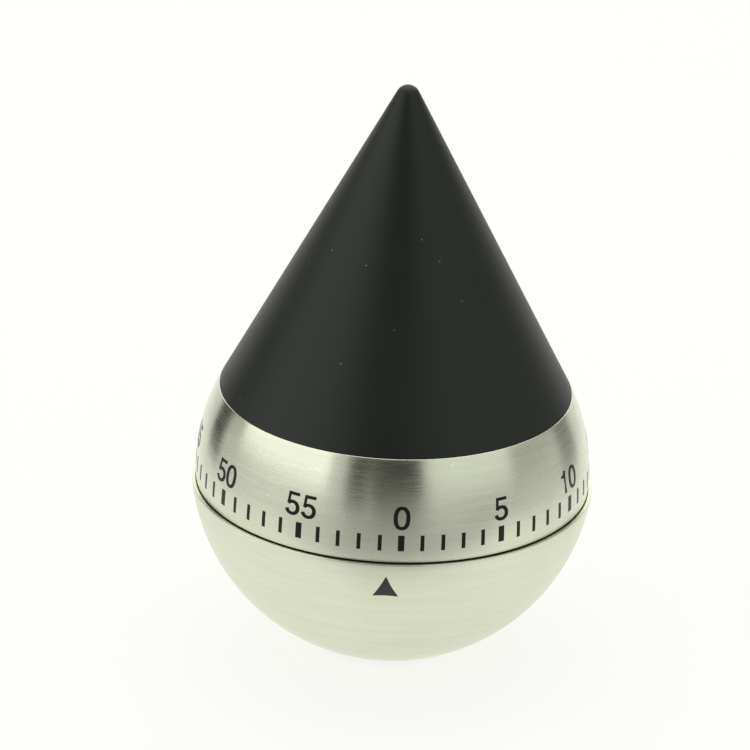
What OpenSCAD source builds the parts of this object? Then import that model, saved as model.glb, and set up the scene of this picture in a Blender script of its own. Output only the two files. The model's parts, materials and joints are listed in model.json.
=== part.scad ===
// Wind-up kitchen timer shaped like a drop of water: a cone and a graduated ring turn on a
// bowl that holds a sixty-minute clockwork with a bell. Millimetres, +Z up, origin at the
// centre of the standing face, pointer towards -Y.

/* [Outside] */
// Outer diameter of the bowl
ball_d = 60; // [58:1:72]
// Height over all
total_h = 87.6; // [76:0.2:106]
// Diameter of the circle that the timer stands on
base_d = 18.4; // [17:0.2:20]
// Seam between bowl and dial ring, below the middle of the ball
seam_drop = 3.1; // [2.6:0.1:3.6]
// Height of the open seam
seam_gap = 0.2; // [0.15:0.05:0.6]
// Ring top above the middle of the ball
ring_rise = 11.8; // [11:0.1:13]
// How much smaller the radius of the ring is than the radius of the ball
ring_step = 0.73; // [0.4:0.01:1]
// How far the middle of the ring's curve lies below the middle of the ball
ring_sink = 1.36; // [1:0.02:1.8]
// Ledge of ring left outside the foot of the cone
cone_ledge = 0.06; // [0.04:0.01:0.5]
// Radius of the rounded tip
tip_r = 1.8; // [1.4:0.1:2.4]

/* [Walls] */
// Sheet steel of bowl and ring
steel_t = 0.6; // [0.4:0.02:0.72]
// Wall of the cone
cone_wall = 2; // [1.6:0.1:2.6]
// Wall of the movement housing
housing_wall = 1.4; // [1:0.1:1.8]
// Wall of the dial carrier
carrier_wall = 1.5; // [1:0.1:2]
// Thickness of the housing's rim behind the seam
rim_t = 1; // [0.8:0.1:1.4]

/* [Clockwork] */
// Thickness of the two movement plates
plate_t = 1; // [0.8:0.1:1.2]
// Underside of the bottom plate below the middle of the ball
movement_drop = 14.5; // [14:0.1:15]
// Radius of the winding arbor
arbor_r = 2.2; // [1.8:0.02:2.7]
// Radius of the small arbors
staff_r = 0.8; // [0.7:0.02:0.9]
// Radius of the pivots in the plates
pivot_r = 0.45; // [0.3:0.05:0.55]
// Height of the mainspring strip
spring_h = 4; // [3.4:0.1:4.8]
// Thickness of the brass wheels
wheel_t = 0.6; // [0.5:0.02:0.72]
// Clear height between wheels on neighbouring levels
level_gap = 0.5; // [0.4:0.02:0.6]
// Distance of the escape arbor from the winding arbor
escape_reach = 16.3; // [16.1:0.1:16.6]
// Distance of the hammer arbor from the winding arbor
hammer_reach = 16.8; // [16.6:0.1:17]

/* [Bell] */
// Outer radius of the bell
bell_r = 16.5; // [15.5:0.1:16.6]
// Height of the bell
bell_h = 7.8; // [7:0.1:8]
// Sheet of the bell
bell_t = 0.8; // [0.6:0.02:0.96]
// Radius of the hammer head
head_r = 1.4; // [1.1:0.1:1.6]

/* [Hidden] */
$fn = 96;

// Colours
STEEL = [0.76, 0.77, 0.74];
BLACK = [0.10, 0.10, 0.10];
BRASS = [0.80, 0.66, 0.34];
ZINC = [0.70, 0.70, 0.66];
DARK_STEEL = [0.45, 0.46, 0.48];
RUBBER = [0.06, 0.06, 0.06];

// Clearances
run = 0.05;        // a shaft turning in a bore, on the radius
seat = 0.05;       // a fixed piece that slips over another, on the radius
skin_gap = 0.1;    // moulded piece inside drawn steel
eps = 0.01;        // overshoot of a cutting tool

// Ball, ring and cone
ball_r = ball_d / 2;
base_r = base_d / 2;
ball_z = sqrt(ball_r * ball_r - base_r * base_r);
seam_z = ball_z - seam_drop;
bowl_top_z = seam_z - seam_gap / 2;
ring_low_z = seam_z + seam_gap / 2;
ring_r = ball_r - ring_step;
ring_c_z = ball_z - ring_sink;
ring_top_z = ball_z + ring_rise;
ring_top_r = sqrt(pow(ring_r, 2) - pow(ring_top_z - ring_c_z, 2));
flange_w = 3.1;                         // inward flange at the top of the ring
flange_r = ring_top_r - flange_w;
cone_foot_r = ring_top_r - cone_ledge;
tip_z = total_h - tip_r;
cone_a = atan2(cone_foot_r, tip_z - ring_top_z) - asin(tip_r / norm([cone_foot_r, tip_z - ring_top_z]));
hollow_z = tip_z + (tip_r - cone_wall) / sin(cone_a);   // where the walls of the hollow would meet
hollow_end_r = 1.2;

// Dial carrier inside the ring
web_t = 1.5;
spigot_h = 2.3;
spigot_wall = 1.5;
spigot_r = flange_r - skin_gap;
web_top_z = ring_top_z - spigot_h;
web_low_z = web_top_z - web_t;
carrier_r = ring_r - steel_t - seat;
hub_r = arbor_r + 2.3;
hub_bore_z = web_low_z + web_t / 2;
arbor_flat = 0.7;                       // depth of the flat that drives the hub
rib_t = 1.2;
rib_h = 3;
carrier_screw_r = 1.3;
carrier_head_r = 2.4;
cone_boss_r = 2.6;
cone_boss_ring = flange_r - 5.5;
cone_boss_h = spigot_h + (cone_foot_r - cone_boss_ring - cone_boss_r - 0.7) / tan(cone_a);
carrier_a = [90, 210, 330];

// Foot of the bowl
foot_edge_r = base_r + 2.1;             // where steel gives way to the foot
foot_edge_z = ball_z - sqrt(ball_r * ball_r - foot_edge_r * foot_edge_r);
foot_lip_r = base_r + 0.7;              // opening in the bowl's turned-in flange
floor_z = foot_edge_z + steel_t;
pad_stand = 0.35;                       // how far the sole stands below the foot plate
pad_t = 0.75;
foot_screw_ring = 5.2;
foot_screw_r = 1;
foot_head_h = floor_z - pad_t - 0.16;   // the countersunk head ends inside the foot plate
foot_head_r = foot_screw_r + foot_head_h;
foot_boss_r = 2.2;
foot_boss_h = 1.5;
foot_a = [90, 210, 330];

// Movement housing
housing_r = ball_r - steel_t - skin_gap;
cavity_r = housing_r - housing_wall;
floor_top_z = floor_z + housing_wall;
rim_r = ring_r - steel_t - 0.67;
rim_in_r = rim_r - rim_t;
rim_top_z = seam_z + 3.6;
stop_gap = 2;                           // from the rim to the carrier's wall
carrier_low_z = rim_top_z + stop_gap;
stop_lug_h = stop_gap - 0.4;
stop_lug_w = 1.2;
stop_a = 90;                            // where the base's stop lug stands
stop_away = 4;                          // degrees from the stop to the dial's lug when run down

// Gears: pressure angle in degrees; profile shift and backlash in modules
press_a = 25;
shift = 0.3;
backlash = 0.16;
pinion_z = 8;
main_m = 0.36;
main_z = 64;
second_m = 0.30;
second_z = 56;
third_m = 0.28;
third_z = 48;
barrel_m = 0.38;
barrel_z = 60;
alarm_m = 0.30;
alarm_z = 48;
function reach(m, z) = m * (z + pinion_z) / 2;
function wheel_tip(m, z) = m * (z / 2 + 1 - shift);
function wheel_root(m, z) = m * (z / 2 - 1.25 - shift);

// Levels above the deck, which is the upper face of the bottom plate
bottom_plate_z = ball_z - movement_drop;
deck_z = bottom_plate_z + plate_t;
leaf_over = 0.2;                        // pinion leaves past the wheel on each side
barrel_floor_t = 1;
spring_gap = 0.3;
cover_t = 0.6;
main_t = 0.8;
washer_t = 0.3;
collar_t = 1;
alarm_l = level_gap;
barrel_l = alarm_l + wheel_t + level_gap;
drum_top_l = barrel_l + barrel_floor_t + spring_h + 2 * spring_gap;
main_l = drum_top_l + cover_t + level_gap;
washer_l = main_l + main_t;
collar_l = washer_l + washer_t;
second_l = collar_l + level_gap;
third_l = second_l + wheel_t + level_gap;
plate_gap = third_l + wheel_t + level_gap + 0.4;
top_plate_z = deck_z + plate_gap;
roof_z = top_plate_z + plate_t;
escape_l = barrel_l + barrel_floor_t + level_gap - 0.1;
strike_l = escape_l + 1;
lever_rise = level_gap + 0.1;           // pallet plates over their wheels
end_shake = 0.2;

// Plan of the movement
drum_r = wheel_root(barrel_m, barrel_z) - 0.4;
drum_wall = 0.7;
main_cd = reach(main_m, main_z);
second_cd = reach(second_m, second_z);
third_cd = reach(third_m, third_z);
barrel_cd = reach(barrel_m, barrel_z);
alarm_cd = reach(alarm_m, alarm_z);
pass_gap = 0.6;                         // third arbor past the main wheel's teeth
third_reach = wheel_tip(main_m, main_z) + staff_r + pass_gap;
strike_reach = 16.2;
escape_tip = 4;
escape_root = 3.1;
escape_teeth = 15;
pallet_cd = 5.6;
pallet_reach = escape_reach + 0.7;
pallet_span = 3.5;                      // pins apart, in teeth
pallet_pin_r = 0.22;
pallet_gap = 0.22;                      // pin to tooth tips at mid swing
strike_tip = 3.6;
strike_root = 2.6;
strike_teeth = 12;
anchor_cd = 5;
anchor_span = 2.5;
anchor_pin_r = 0.25;
anchor_gap = 0.3;
arm_w = 1.1;
function polar(r, a) = [r * cos(a), r * sin(a)];
function between(ra, rb, d) = acos((ra * ra + rb * rb - d * d) / (2 * ra * rb));
function aim(p, q) = atan2(q[1] - p[1], q[0] - p[0]);
second_a = 200;
third_a = second_a - between(main_cd, third_reach, second_cd);
escape_a = third_a - between(third_reach, escape_reach, third_cd);
pallet_a = escape_a - between(escape_reach, pallet_reach, pallet_cd);
alarm_a = 330;
strike_a = alarm_a - between(barrel_cd, strike_reach, alarm_cd);
hammer_a = strike_a - between(strike_reach, hammer_reach, anchor_cd);
second_at = polar(main_cd, second_a);
third_at = polar(third_reach, third_a);
escape_at = polar(escape_reach, escape_a);
pallet_at = polar(pallet_reach, pallet_a);
alarm_at = polar(barrel_cd, alarm_a);
strike_at = polar(strike_reach, strike_a);
hammer_at = polar(hammer_reach, hammer_a);
turning = [second_at, third_at, escape_at, pallet_at, alarm_at, strike_at];
plate_r = main_cd + wheel_tip(second_m, second_z) + 0.43;
pillar_ring = plate_r - 3.4;
pillar_r = 1.7;
tenon_r = 1.1;
pillar_a = [20, 80, 250];
nut_r = 2.2;
nut_t = 1.2;
ear_ring = plate_r + 2.6;
ear_r = 1.9;
ear_boss_r = 2.1;
ear_screw_r = 0.9;
ear_head_r = 1.7;
ear_screw_l = 6;
ear_a = [50, 180, 300];

// Release work on top of the movement
clip_t = 0.5;
clip_z = roof_z + 0.1;
clip_bite = 0.35;
cam_r = 7;
cam_t = 1;
cam_z = roof_z + 0.9;
cam_notch_a = 268;
notch_w = 2.4;
notch_depth = 1.6;
arbor_round_z = cam_z + cam_t + 1;      // where the arbor's flat begins
hub_low_z = arbor_round_z + 0.4;
lever_t = 0.8;
lever_z = cam_z + 0.1;
lever_w = 1.5;
stud_at = polar(13, 250);
stud_r = 0.9;
tip_gap = 0.12;                         // lever tip to cam rim
lever_tip_r = 0.5;
tip_at = polar(cam_r + tip_gap + lever_tip_r, cam_notch_a);
finger_r = 0.4;
finger_at = polar(17.1, 265.5);
finger_slot_r = 1.5;
detent_swing = 8;
post_pin_r = 0.6;
post_pin_at = polar(15.6, 292);
leaf_t = 0.25;

// Bell and hammer, below the bottom plate
bell_gap = 1.4;
bell_rim_z = bottom_plate_z - bell_gap;
bell_low_z = bell_rim_z - bell_h;
bell_corner_r = 4.5;
post_r = 2;
post_flange_r = 4;
post_flange_t = 1;
rivet_r = 0.8;
rivet_ring = 2.9;
bell_screw_r = 1;
bell_head_r = 2.4;
bell_head_t = 1.1;
bell_washer_t = 0.3;
strike_gap = 0.95;                      // head to bell at mid swing
head_ring = bell_r - bell_t - head_r - strike_gap;
head_at = polar(head_ring, hammer_a + acos(head_ring / hammer_reach));
head_h = 3.4;
arm_t = 0.7;
arm_z = bell_rim_z + 0.3;

// ---- Shared shapes ----

function involute(a) = tan(a) * 180 / PI - a;

// Half the angle of a tooth at radius r, for a gear of z teeth, module m and shift x
function tooth_half(r, m, z, x) =
    let (base = m * z / 2 * cos(press_a))
    (PI / 4 + x * tan(press_a) - backlash / 4) / (z / 2) * 180 / PI
        + involute(press_a) - (r > base ? involute(acos(base / r)) : 0);

function flank_radii(base, root, tip, steps) =
    let (start = max(root, base))
    concat(start > root ? [root] : [], [for (i = [0:steps]) start + (tip - start) * i / steps]);

function gear_points(m, z, x, root, tip, steps = 3) =
    let (rs = flank_radii(m * z / 2 * cos(press_a), root, tip, steps), n = len(rs))
    [for (k = [0:z - 1], i = [0:2 * n - 1])
        let (r = i < n ? rs[i] : rs[2 * n - 1 - i], side = i < n ? -1 : 1)
        polar(r, 360 * k / z + side * tooth_half(r, m, z, x))];

module pinion_leaves(m, h) {
    linear_extrude(height = h)
        polygon(gear_points(m, pinion_z, shift, m * (pinion_z / 2 - 1.25 + shift),
            m * (pinion_z / 2 + 1)));
}

// A wheel with its bore and a ring of round crossings, one tooth towards angle a
module toothed_wheel(m, z, a, t, bore, holes, hole_r, hole_ring) {
    rotate([0, 0, a]) linear_extrude(height = t) difference() {
        polygon(gear_points(m, z, -shift, wheel_root(m, z), wheel_tip(m, z)));
        circle(r = bore);
        for (i = [0:1:holes - 1]) rotate(360 * (i + 0.5) / holes)
            translate([hole_ring, 0]) circle(r = hole_r);
    }
}

// Pointed teeth that lean one way, for the escape wheel and the strike wheel
module ratchet_wheel(teeth, root, tip, t, bore) {
    pitch = 360 / teeth;
    linear_extrude(height = t) difference() {
        polygon([for (k = [0:teeth - 1], i = [0:2])
            polar(i == 1 ? tip : root, pitch * (k + [-0.3, 0.1, 0.3][i]))]);
        circle(r = bore);
    }
}

// An arbor with a thin pivot at each end, standing on the deck
module staff() {
    translate([0, 0, end_shake - plate_t]) cylinder(r = pivot_r, h = plate_gap + 2 * (plate_t - end_shake));
    translate([0, 0, end_shake]) cylinder(r = staff_r, h = plate_gap - 2 * end_shake);
}

// A staff with leaves at a level, one gap of the leaves towards angle a
module geared_staff(p, m, a, level, t) {
    place(p, deck_z) {
        staff();
        translate([0, 0, level - leaf_over]) rotate([0, 0, a + 180 / pinion_z])
            pinion_leaves(m, t + 2 * leaf_over);
    }
}

module place(p, z = 0) {
    translate([p[0], p[1], z]) children();
}

module ring_of(angles, r, z = 0) {
    for (a = angles) place(polar(r, a), z) children();
}

module tube(r_out, r_in, h) {
    linear_extrude(height = h) difference() {
        circle(r = r_out);
        circle(r = r_in);
    }
}

// A straight bar of width w from p to q
module bar_2d(p, q, w) {
    translate(p) rotate(aim(p, q)) translate([0, -w / 2]) square([norm(q - p), w]);
}

// A flat link between two round eyes
module link_2d(p, q, w, eye_p, eye_q) {
    bar_2d(p, q, w);
    translate(p) circle(r = eye_p);
    translate(q) circle(r = eye_q);
}

module cross_slot(r, depth) {
    for (a = [0, 90]) rotate([0, 0, a])
        translate([-r, -r / 5, -depth]) cube([2 * r, r / 2.5, depth + eps]);
}

// A cheese-head screw, shank down from the origin, head up
module screw(r, l, head_r, head_t) {
    translate([0, 0, -l]) cylinder(r = r, h = l + head_t / 4);
    difference() {
        cylinder(r = head_r, h = head_t);
        translate([0, 0, head_t]) cross_slot(head_r * 0.6, head_t * 0.6);
    }
}

// In the profile plane: everything between two heights, out to r
module band(z_low, z_high, r = 2 * ball_d) {
    translate([0, z_low]) square([r, z_high - z_low]);
}

module disc_at(r, z) {
    translate([0, z]) circle(r = r, $fn = 180);
}

// A round bar with one flat, the flat at depth cut below the arbor's surface
module keyed_2d(grow = 0) {
    r = arbor_r + grow;
    difference() {
        circle(r = r);
        translate([-2 * r, r - arbor_flat]) square([4 * r, 2 * r]);
    }
}

// ---- Dial: everything that turns with the cone ----

module cone_cap() {
    foot_in_r = spigot_r - spigot_wall;
    color(BLACK) difference() {
        union() {
            rotate_extrude($fn = 180) difference() {
                union() {
                    polygon([[0, ring_top_z], [cone_foot_r, ring_top_z],
                        [tip_r * cos(cone_a), tip_z + tip_r * sin(cone_a)], [0, tip_z]]);
                    intersection() {
                        disc_at(tip_r, tip_z);
                        band(ring_top_z, total_h + 1);
                    }
                    band(web_top_z, ring_top_z + eps, spigot_r);
                }
                polygon([[0, web_top_z - 1], [foot_in_r, web_top_z - 1],
                    [foot_in_r, hollow_z - foot_in_r / tan(cone_a)],
                    [hollow_end_r, hollow_z - hollow_end_r / tan(cone_a)],
                    [0, hollow_z - hollow_end_r / tan(cone_a)]]);
            }
            ring_of(carrier_a, cone_boss_ring, web_top_z) cylinder(r = cone_boss_r, h = cone_boss_h);
        }
        ring_of(carrier_a, cone_boss_ring, web_top_z - eps)
            cylinder(r = carrier_screw_r, h = cone_boss_h - 2);
    }
}

module dial_ring() {
    color(STEEL) rotate_extrude($fn = 180) difference() {
        intersection() {
            disc_at(ring_r, ring_c_z);
            band(ring_low_z, ring_top_z);
        }
        intersection() {
            disc_at(ring_r - steel_t, ring_c_z);
            band(ring_low_z - 1, ring_top_z - steel_t);
        }
        band(ring_low_z - 1, ring_top_z + 1, flange_r);
    }
}

module dial_carrier() {
    web_r = carrier_r - carrier_wall / 2;
    lug_r = (rim_r + rim_in_r) / 2;
    color(BLACK) difference() {
        union() {
            rotate_extrude($fn = 180) {
                difference() {
                    intersection() {
                        disc_at(carrier_r, ring_c_z);
                        band(carrier_low_z, ring_top_z - steel_t);
                    }
                    disc_at(carrier_r - carrier_wall, ring_c_z);
                }
                intersection() {
                    disc_at(web_r, ring_c_z);
                    band(web_low_z, web_top_z);
                }
                band(hub_low_z, web_low_z + eps, hub_r);
            }
            intersection() {
                for (a = [0:60:120]) rotate([0, 0, a])
                    translate([-ball_r, -rib_t / 2, web_low_z - rib_h])
                        cube([2 * ball_r, rib_t, rib_h + web_t / 2]);
                rotate_extrude($fn = 180) intersection() {
                    disc_at(web_r, ring_c_z);
                    band(web_low_z - rib_h, web_top_z);
                }
            }
            // stop lug that hangs from the wall
            rotate([0, 0, stop_a - stop_away])
                translate([lug_r - rim_t * 0.45, -stop_lug_w / 2, carrier_low_z - stop_lug_h])
                    cube([rim_t * 0.9, stop_lug_w, stop_lug_h + 1]);
        }
        translate([0, 0, hub_low_z - eps]) linear_extrude(height = hub_bore_z - hub_low_z)
            keyed_2d(seat);
        ring_of(carrier_a, cone_boss_ring, web_low_z - eps)
            cylinder(r = carrier_screw_r + seat, h = web_t + 2 * eps);
    }
}

module carrier_screws() {
    color(DARK_STEEL) ring_of(carrier_a, cone_boss_ring, web_low_z)
        mirror([0, 0, 1]) screw(carrier_screw_r, web_t + cone_boss_h - 3, carrier_head_r, 1.4);
}

module winding_arbor() {
    pivot = arbor_r * 0.68;
    shoulder_l = drum_top_l + cover_t + 0.15;
    color(DARK_STEEL) difference() {
        union() {
            translate([0, 0, deck_z - plate_t + 0.1]) cylinder(r = pivot, h = plate_t + 1);
            translate([0, 0, deck_z + end_shake]) cylinder(r = arbor_r, h = arbor_round_z - deck_z - end_shake);
            translate([0, 0, deck_z + shoulder_l]) cylinder(r = arbor_r + 0.9, h = main_l - shoulder_l);
            translate([0, 0, arbor_round_z - 1]) linear_extrude(height = hub_bore_z - 0.3 - arbor_round_z + 1)
                keyed_2d();
        }
        translate([0, 0, clip_z]) tube(arbor_r + 1, arbor_r - clip_bite, clip_t + 0.1);
    }
}

module arbor_clip() {
    color(DARK_STEEL) translate([0, 0, clip_z + 0.05]) linear_extrude(height = clip_t) difference() {
        circle(r = arbor_r + 1.1);
        circle(r = arbor_r - clip_bite);
        translate([0, -arbor_r * 0.6]) square([3 * arbor_r, arbor_r * 1.2]);
    }
}

module main_wheel() {
    color(BRASS) translate([0, 0, deck_z + main_l])
        toothed_wheel(main_m, main_z, second_a, main_t, arbor_r + run, 5, 1.9, 7.9);
}

// Spring washer with three fingers, which lets the wheel slip when the dial is set
module clutch_washer() {
    color(DARK_STEEL) translate([0, 0, deck_z + washer_l]) linear_extrude(height = washer_t)
        difference() {
            union() {
                circle(r = arbor_r + 1.2);
                for (a = [0:120:240]) rotate(a) translate([0, -1]) square([arbor_r + 3.2, 2]);
            }
            circle(r = arbor_r);
        }
}

module clutch_collar() {
    color(DARK_STEEL) translate([0, 0, deck_z + collar_l]) tube(arbor_r + 0.9, arbor_r, collar_t);
}

module release_cam() {
    color(BRASS) translate([0, 0, cam_z]) linear_extrude(height = cam_t) difference() {
        circle(r = cam_r);
        circle(r = arbor_r);
        rotate(cam_notch_a) translate([cam_r - notch_depth, -notch_w / 2])
            square([2 * notch_depth, notch_w]);
    }
}

// ---- Base: bowl, housing, foot and the frame of the movement ----

module bowl_shell() {
    color(STEEL) rotate_extrude($fn = 180) difference() {
        intersection() {
            disc_at(ball_r, ball_z);
            band(foot_edge_z, bowl_top_z);
        }
        intersection() {
            disc_at(ball_r - steel_t, ball_z);
            band(floor_z, ball_d);
        }
        band(-1, floor_z + 1, foot_lip_r);
    }
}

module movement_housing() {
    ledge_z = bowl_top_z - 1;
    lug_r = (rim_r + rim_in_r) / 2;
    color(BLACK) difference() {
        union() {
            rotate_extrude($fn = 180) difference() {
                union() {
                    intersection() {
                        disc_at(housing_r, ball_z);
                        band(floor_z, bowl_top_z);
                    }
                    band(bowl_top_z - 2, rim_top_z, rim_r);
                }
                intersection() {
                    disc_at(cavity_r, ball_z);
                    band(floor_top_z, ledge_z);
                }
                band(ledge_z - eps, rim_top_z + 1, rim_in_r);
            }
            intersection() {
                ring_of(ear_a, ear_ring, floor_top_z) cylinder(r = ear_boss_r, h = top_plate_z - floor_top_z);
                rotate_extrude($fn = 180) {
                    intersection() {
                        disc_at(cavity_r + housing_wall / 2, ball_z);
                        band(floor_z, ledge_z);
                    }
                    band(ledge_z, rim_top_z, rim_in_r + rim_t / 2);
                }
            }
            ring_of(foot_a, foot_screw_ring, floor_z) cylinder(r = foot_boss_r, h = housing_wall + foot_boss_h);
            // stop lug that stands on the rim
            rotate([0, 0, stop_a]) translate([lug_r - rim_t * 0.45, -stop_lug_w / 2, rim_top_z - 1])
                cube([rim_t * 0.9, stop_lug_w, stop_lug_h + 1]);
        }
        ring_of(ear_a, ear_ring, top_plate_z - ear_screw_l) cylinder(r = ear_screw_r, h = ear_screw_l + eps);
        ring_of(foot_a, foot_screw_ring, floor_z - eps)
            cylinder(r = foot_screw_r, h = housing_wall + foot_boss_h - 0.4);
    }
}

module foot_plate() {
    color(BLACK) difference() {
        rotate_extrude($fn = 180) difference() {
            union() {
                intersection() {
                    disc_at(ball_r, ball_z);
                    band(pad_stand, foot_edge_z);
                }
                band(pad_stand, floor_z, foot_lip_r - skin_gap);
            }
            band(0, pad_t, base_r + seat);
        }
        ring_of(foot_a, foot_screw_ring, 0) foot_screw_body(pad_t - 0.1);
    }
}

// Countersunk head flush with the recess, then the shank
module foot_screw_body(low) {
    translate([0, 0, low]) cylinder(r = foot_head_r, h = pad_t - low + 0.1);
    translate([0, 0, pad_t + 0.1]) cylinder(r1 = foot_head_r, r2 = foot_screw_r, h = foot_head_h);
    translate([0, 0, pad_t]) cylinder(r = foot_screw_r, h = floor_z + housing_wall + foot_boss_h - 0.8 - pad_t);
}

module foot_screws() {
    color(DARK_STEEL) ring_of(foot_a, foot_screw_ring, 0) difference() {
        foot_screw_body(pad_t);
        translate([0, 0, pad_t - eps]) mirror([0, 0, 1]) cross_slot(foot_head_r * 0.6, 0.3);
    }
}

module foot_pad() {
    color(RUBBER) cylinder(r = base_r, h = pad_t, $fn = 180);
}

module bottom_plate() {
    color(ZINC) translate([0, 0, bottom_plate_z]) linear_extrude(height = plate_t) difference() {
        circle(r = plate_r);
        circle(r = arbor_r * 0.68 + run);
        for (p = turning) translate(p) circle(r = pivot_r + run);
        translate(hammer_at) circle(r = staff_r + run);
        for (a = pillar_a) translate(polar(pillar_ring, a)) circle(r = tenon_r);
        for (a = [0, 180]) translate(polar(rivet_ring, a)) circle(r = rivet_r);
        translate(polar(14, 55)) circle(r = 4.5);
    }
}

module top_plate() {
    slot_at = finger_at + [-0.35, -0.2];
    color(ZINC) translate([0, 0, top_plate_z]) linear_extrude(height = plate_t) difference() {
        union() {
            circle(r = plate_r);
            for (a = ear_a) bar_2d(polar(plate_r - 2, a), polar(ear_ring, a), 2 * ear_r);
            for (a = ear_a) translate(polar(ear_ring, a)) circle(r = ear_r);
        }
        circle(r = arbor_r + run);
        for (p = turning) translate(p) circle(r = pivot_r + run);
        translate(hammer_at) circle(r = pivot_r + run);
        for (a = pillar_a) translate(polar(pillar_ring, a)) circle(r = tenon_r);
        for (a = ear_a) translate(polar(ear_ring, a)) circle(r = ear_screw_r + seat);
        translate(stud_at) circle(r = stud_r * 0.7);
        translate(post_pin_at) circle(r = post_pin_r * 0.7);
        translate(slot_at) circle(r = finger_slot_r);
        translate(polar(12, 20)) circle(r = 4);
        translate(polar(12.5, 55)) circle(r = 2.6);
    }
}

module pillars() {
    color(DARK_STEEL) ring_of(pillar_a, pillar_ring, bottom_plate_z) {
        cylinder(r = tenon_r, h = plate_t + plate_gap + plate_t + nut_t);
        translate([0, 0, plate_t]) cylinder(r = pillar_r, h = plate_gap);
    }
}

module pillar_nuts() {
    color(DARK_STEEL) ring_of(pillar_a, pillar_ring, roof_z) linear_extrude(height = nut_t)
        difference() {
            circle(r = nut_r, $fn = 6);
            circle(r = tenon_r);
        }
}

module movement_screws() {
    color(DARK_STEEL) ring_of(ear_a, ear_ring, roof_z)
        screw(ear_screw_r, plate_t + ear_screw_l - 0.5, ear_head_r, 1.1);
}

module bell() {
    color(STEEL) translate([0, 0, bell_low_z]) rotate_extrude($fn = 180) difference() {
        bell_2d(bell_r, bell_corner_r, 0);
        bell_2d(bell_r - bell_t, bell_corner_r - bell_t, bell_t);
        translate([-1, -1]) square([bell_screw_r + seat + 1, bell_t + 2]);
    }
}

// Half the section of a cup with a round corner and its bottom at z
module bell_2d(r, corner, z) {
    translate([0, z]) square([r - corner, corner + eps]);
    translate([0, z + corner]) square([r, bell_h - corner]);
    intersection() {
        translate([r - corner, z + corner]) circle(r = corner);
        band(z, z + corner + eps);
    }
}

module bell_post() {
    color(ZINC) difference() {
        union() {
            translate([0, 0, bell_low_z + bell_t]) cylinder(r = post_r, h = bottom_plate_z - bell_low_z - bell_t);
            translate([0, 0, bottom_plate_z - post_flange_t]) cylinder(r = post_flange_r, h = post_flange_t);
            ring_of([0, 180], rivet_ring, bottom_plate_z - eps) cylinder(r = rivet_r, h = plate_t + eps);
        }
        translate([0, 0, bell_low_z + bell_t - eps]) cylinder(r = bell_screw_r, h = 4);
    }
}

module bell_washer() {
    color(DARK_STEEL) translate([0, 0, bell_low_z - bell_washer_t])
        tube(bell_head_r + 0.6, bell_screw_r + seat, bell_washer_t);
}

module bell_screw() {
    color(DARK_STEEL) translate([0, 0, bell_low_z - bell_washer_t]) mirror([0, 0, 1])
        screw(bell_screw_r, bell_washer_t + bell_t + 3.5, bell_head_r, bell_head_t);
}

// ---- Going train ----

module second_pinion() {
    color(DARK_STEEL) geared_staff(second_at, main_m, second_a + 180, main_l, main_t);
}

module second_wheel() {
    color(BRASS) place(second_at, deck_z + second_l)
        toothed_wheel(second_m, second_z, aim(second_at, third_at), wheel_t, staff_r, 4, 1.7, 5.2);
}

module third_pinion() {
    color(DARK_STEEL) geared_staff(third_at, second_m, aim(third_at, second_at), second_l, wheel_t);
}

module third_wheel() {
    color(BRASS) place(third_at, deck_z + third_l)
        toothed_wheel(third_m, third_z, aim(third_at, escape_at), wheel_t, staff_r, 4, 1.3, 4);
}

module escape_pinion() {
    color(DARK_STEEL) geared_staff(escape_at, third_m, aim(escape_at, third_at), third_l, wheel_t);
}

module escape_wheel() {
    color(BRASS) place(escape_at, deck_z + escape_l)
        ratchet_wheel(escape_teeth, escape_root, escape_tip, wheel_t, staff_r);
}

// Where the two pins of an anchor stand, for a wheel at p and an anchor at q
function pin_spots(p, q, ring, half) = [for (s = [-1, 1]) p + polar(ring, aim(p, q) + s * half)];
pallet_spots = pin_spots(escape_at, pallet_at, escape_tip + pallet_gap + pallet_pin_r,
    pallet_span / 2 * 360 / escape_teeth);
anchor_spots = pin_spots(strike_at, hammer_at, strike_tip + anchor_gap + anchor_pin_r,
    anchor_span / 2 * 360 / strike_teeth);

module pallet_lever() {
    color(BRASS) translate([0, 0, deck_z + escape_l + wheel_t + lever_rise])
        linear_extrude(height = wheel_t) difference() {
            for (p = pallet_spots) link_2d(pallet_at, p, arm_w, 1.3, 0.6);
            translate(pallet_at) circle(r = staff_r);
            for (p = pallet_spots) translate(p) circle(r = pallet_pin_r);
        }
}

module pallet_pins() {
    color(DARK_STEEL) for (p = pallet_spots) place(p, deck_z + escape_l - 0.2)
        cylinder(r = pallet_pin_r, h = 2 * wheel_t + lever_rise + 0.3);
}

module pallet_arbor() {
    color(DARK_STEEL) place(pallet_at, deck_z) staff();
}

// Bar with two round weights that sets the beat
module swing_weight() {
    across = aim(escape_at, pallet_at) + 90;
    color(BRASS) place(pallet_at, deck_z + escape_l + 2 * wheel_t + lever_rise + 1)
        linear_extrude(height = wheel_t) difference() {
            union() {
                for (s = [0, 180]) rotate(across + s) link_2d([0, 0], [3.2, 0], 1, 1.4, 1);
            }
            circle(r = staff_r);
        }
}

// ---- Striking train ----

module barrel_drum() {
    gear_a = alarm_a;
    color(BRASS) translate([0, 0, deck_z]) difference() {
        union() {
            translate([0, 0, barrel_l])
                toothed_wheel(barrel_m, barrel_z, gear_a, barrel_floor_t, arbor_r + run, 0, 1, 1);
            translate([0, 0, 0.3]) tube(arbor_r + 1.2, arbor_r + run, barrel_l);
            translate([0, 0, barrel_l + barrel_floor_t / 2])
                tube(drum_r, drum_r - drum_wall, drum_top_l - barrel_l - barrel_floor_t / 2);
        }
    }
}

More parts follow.
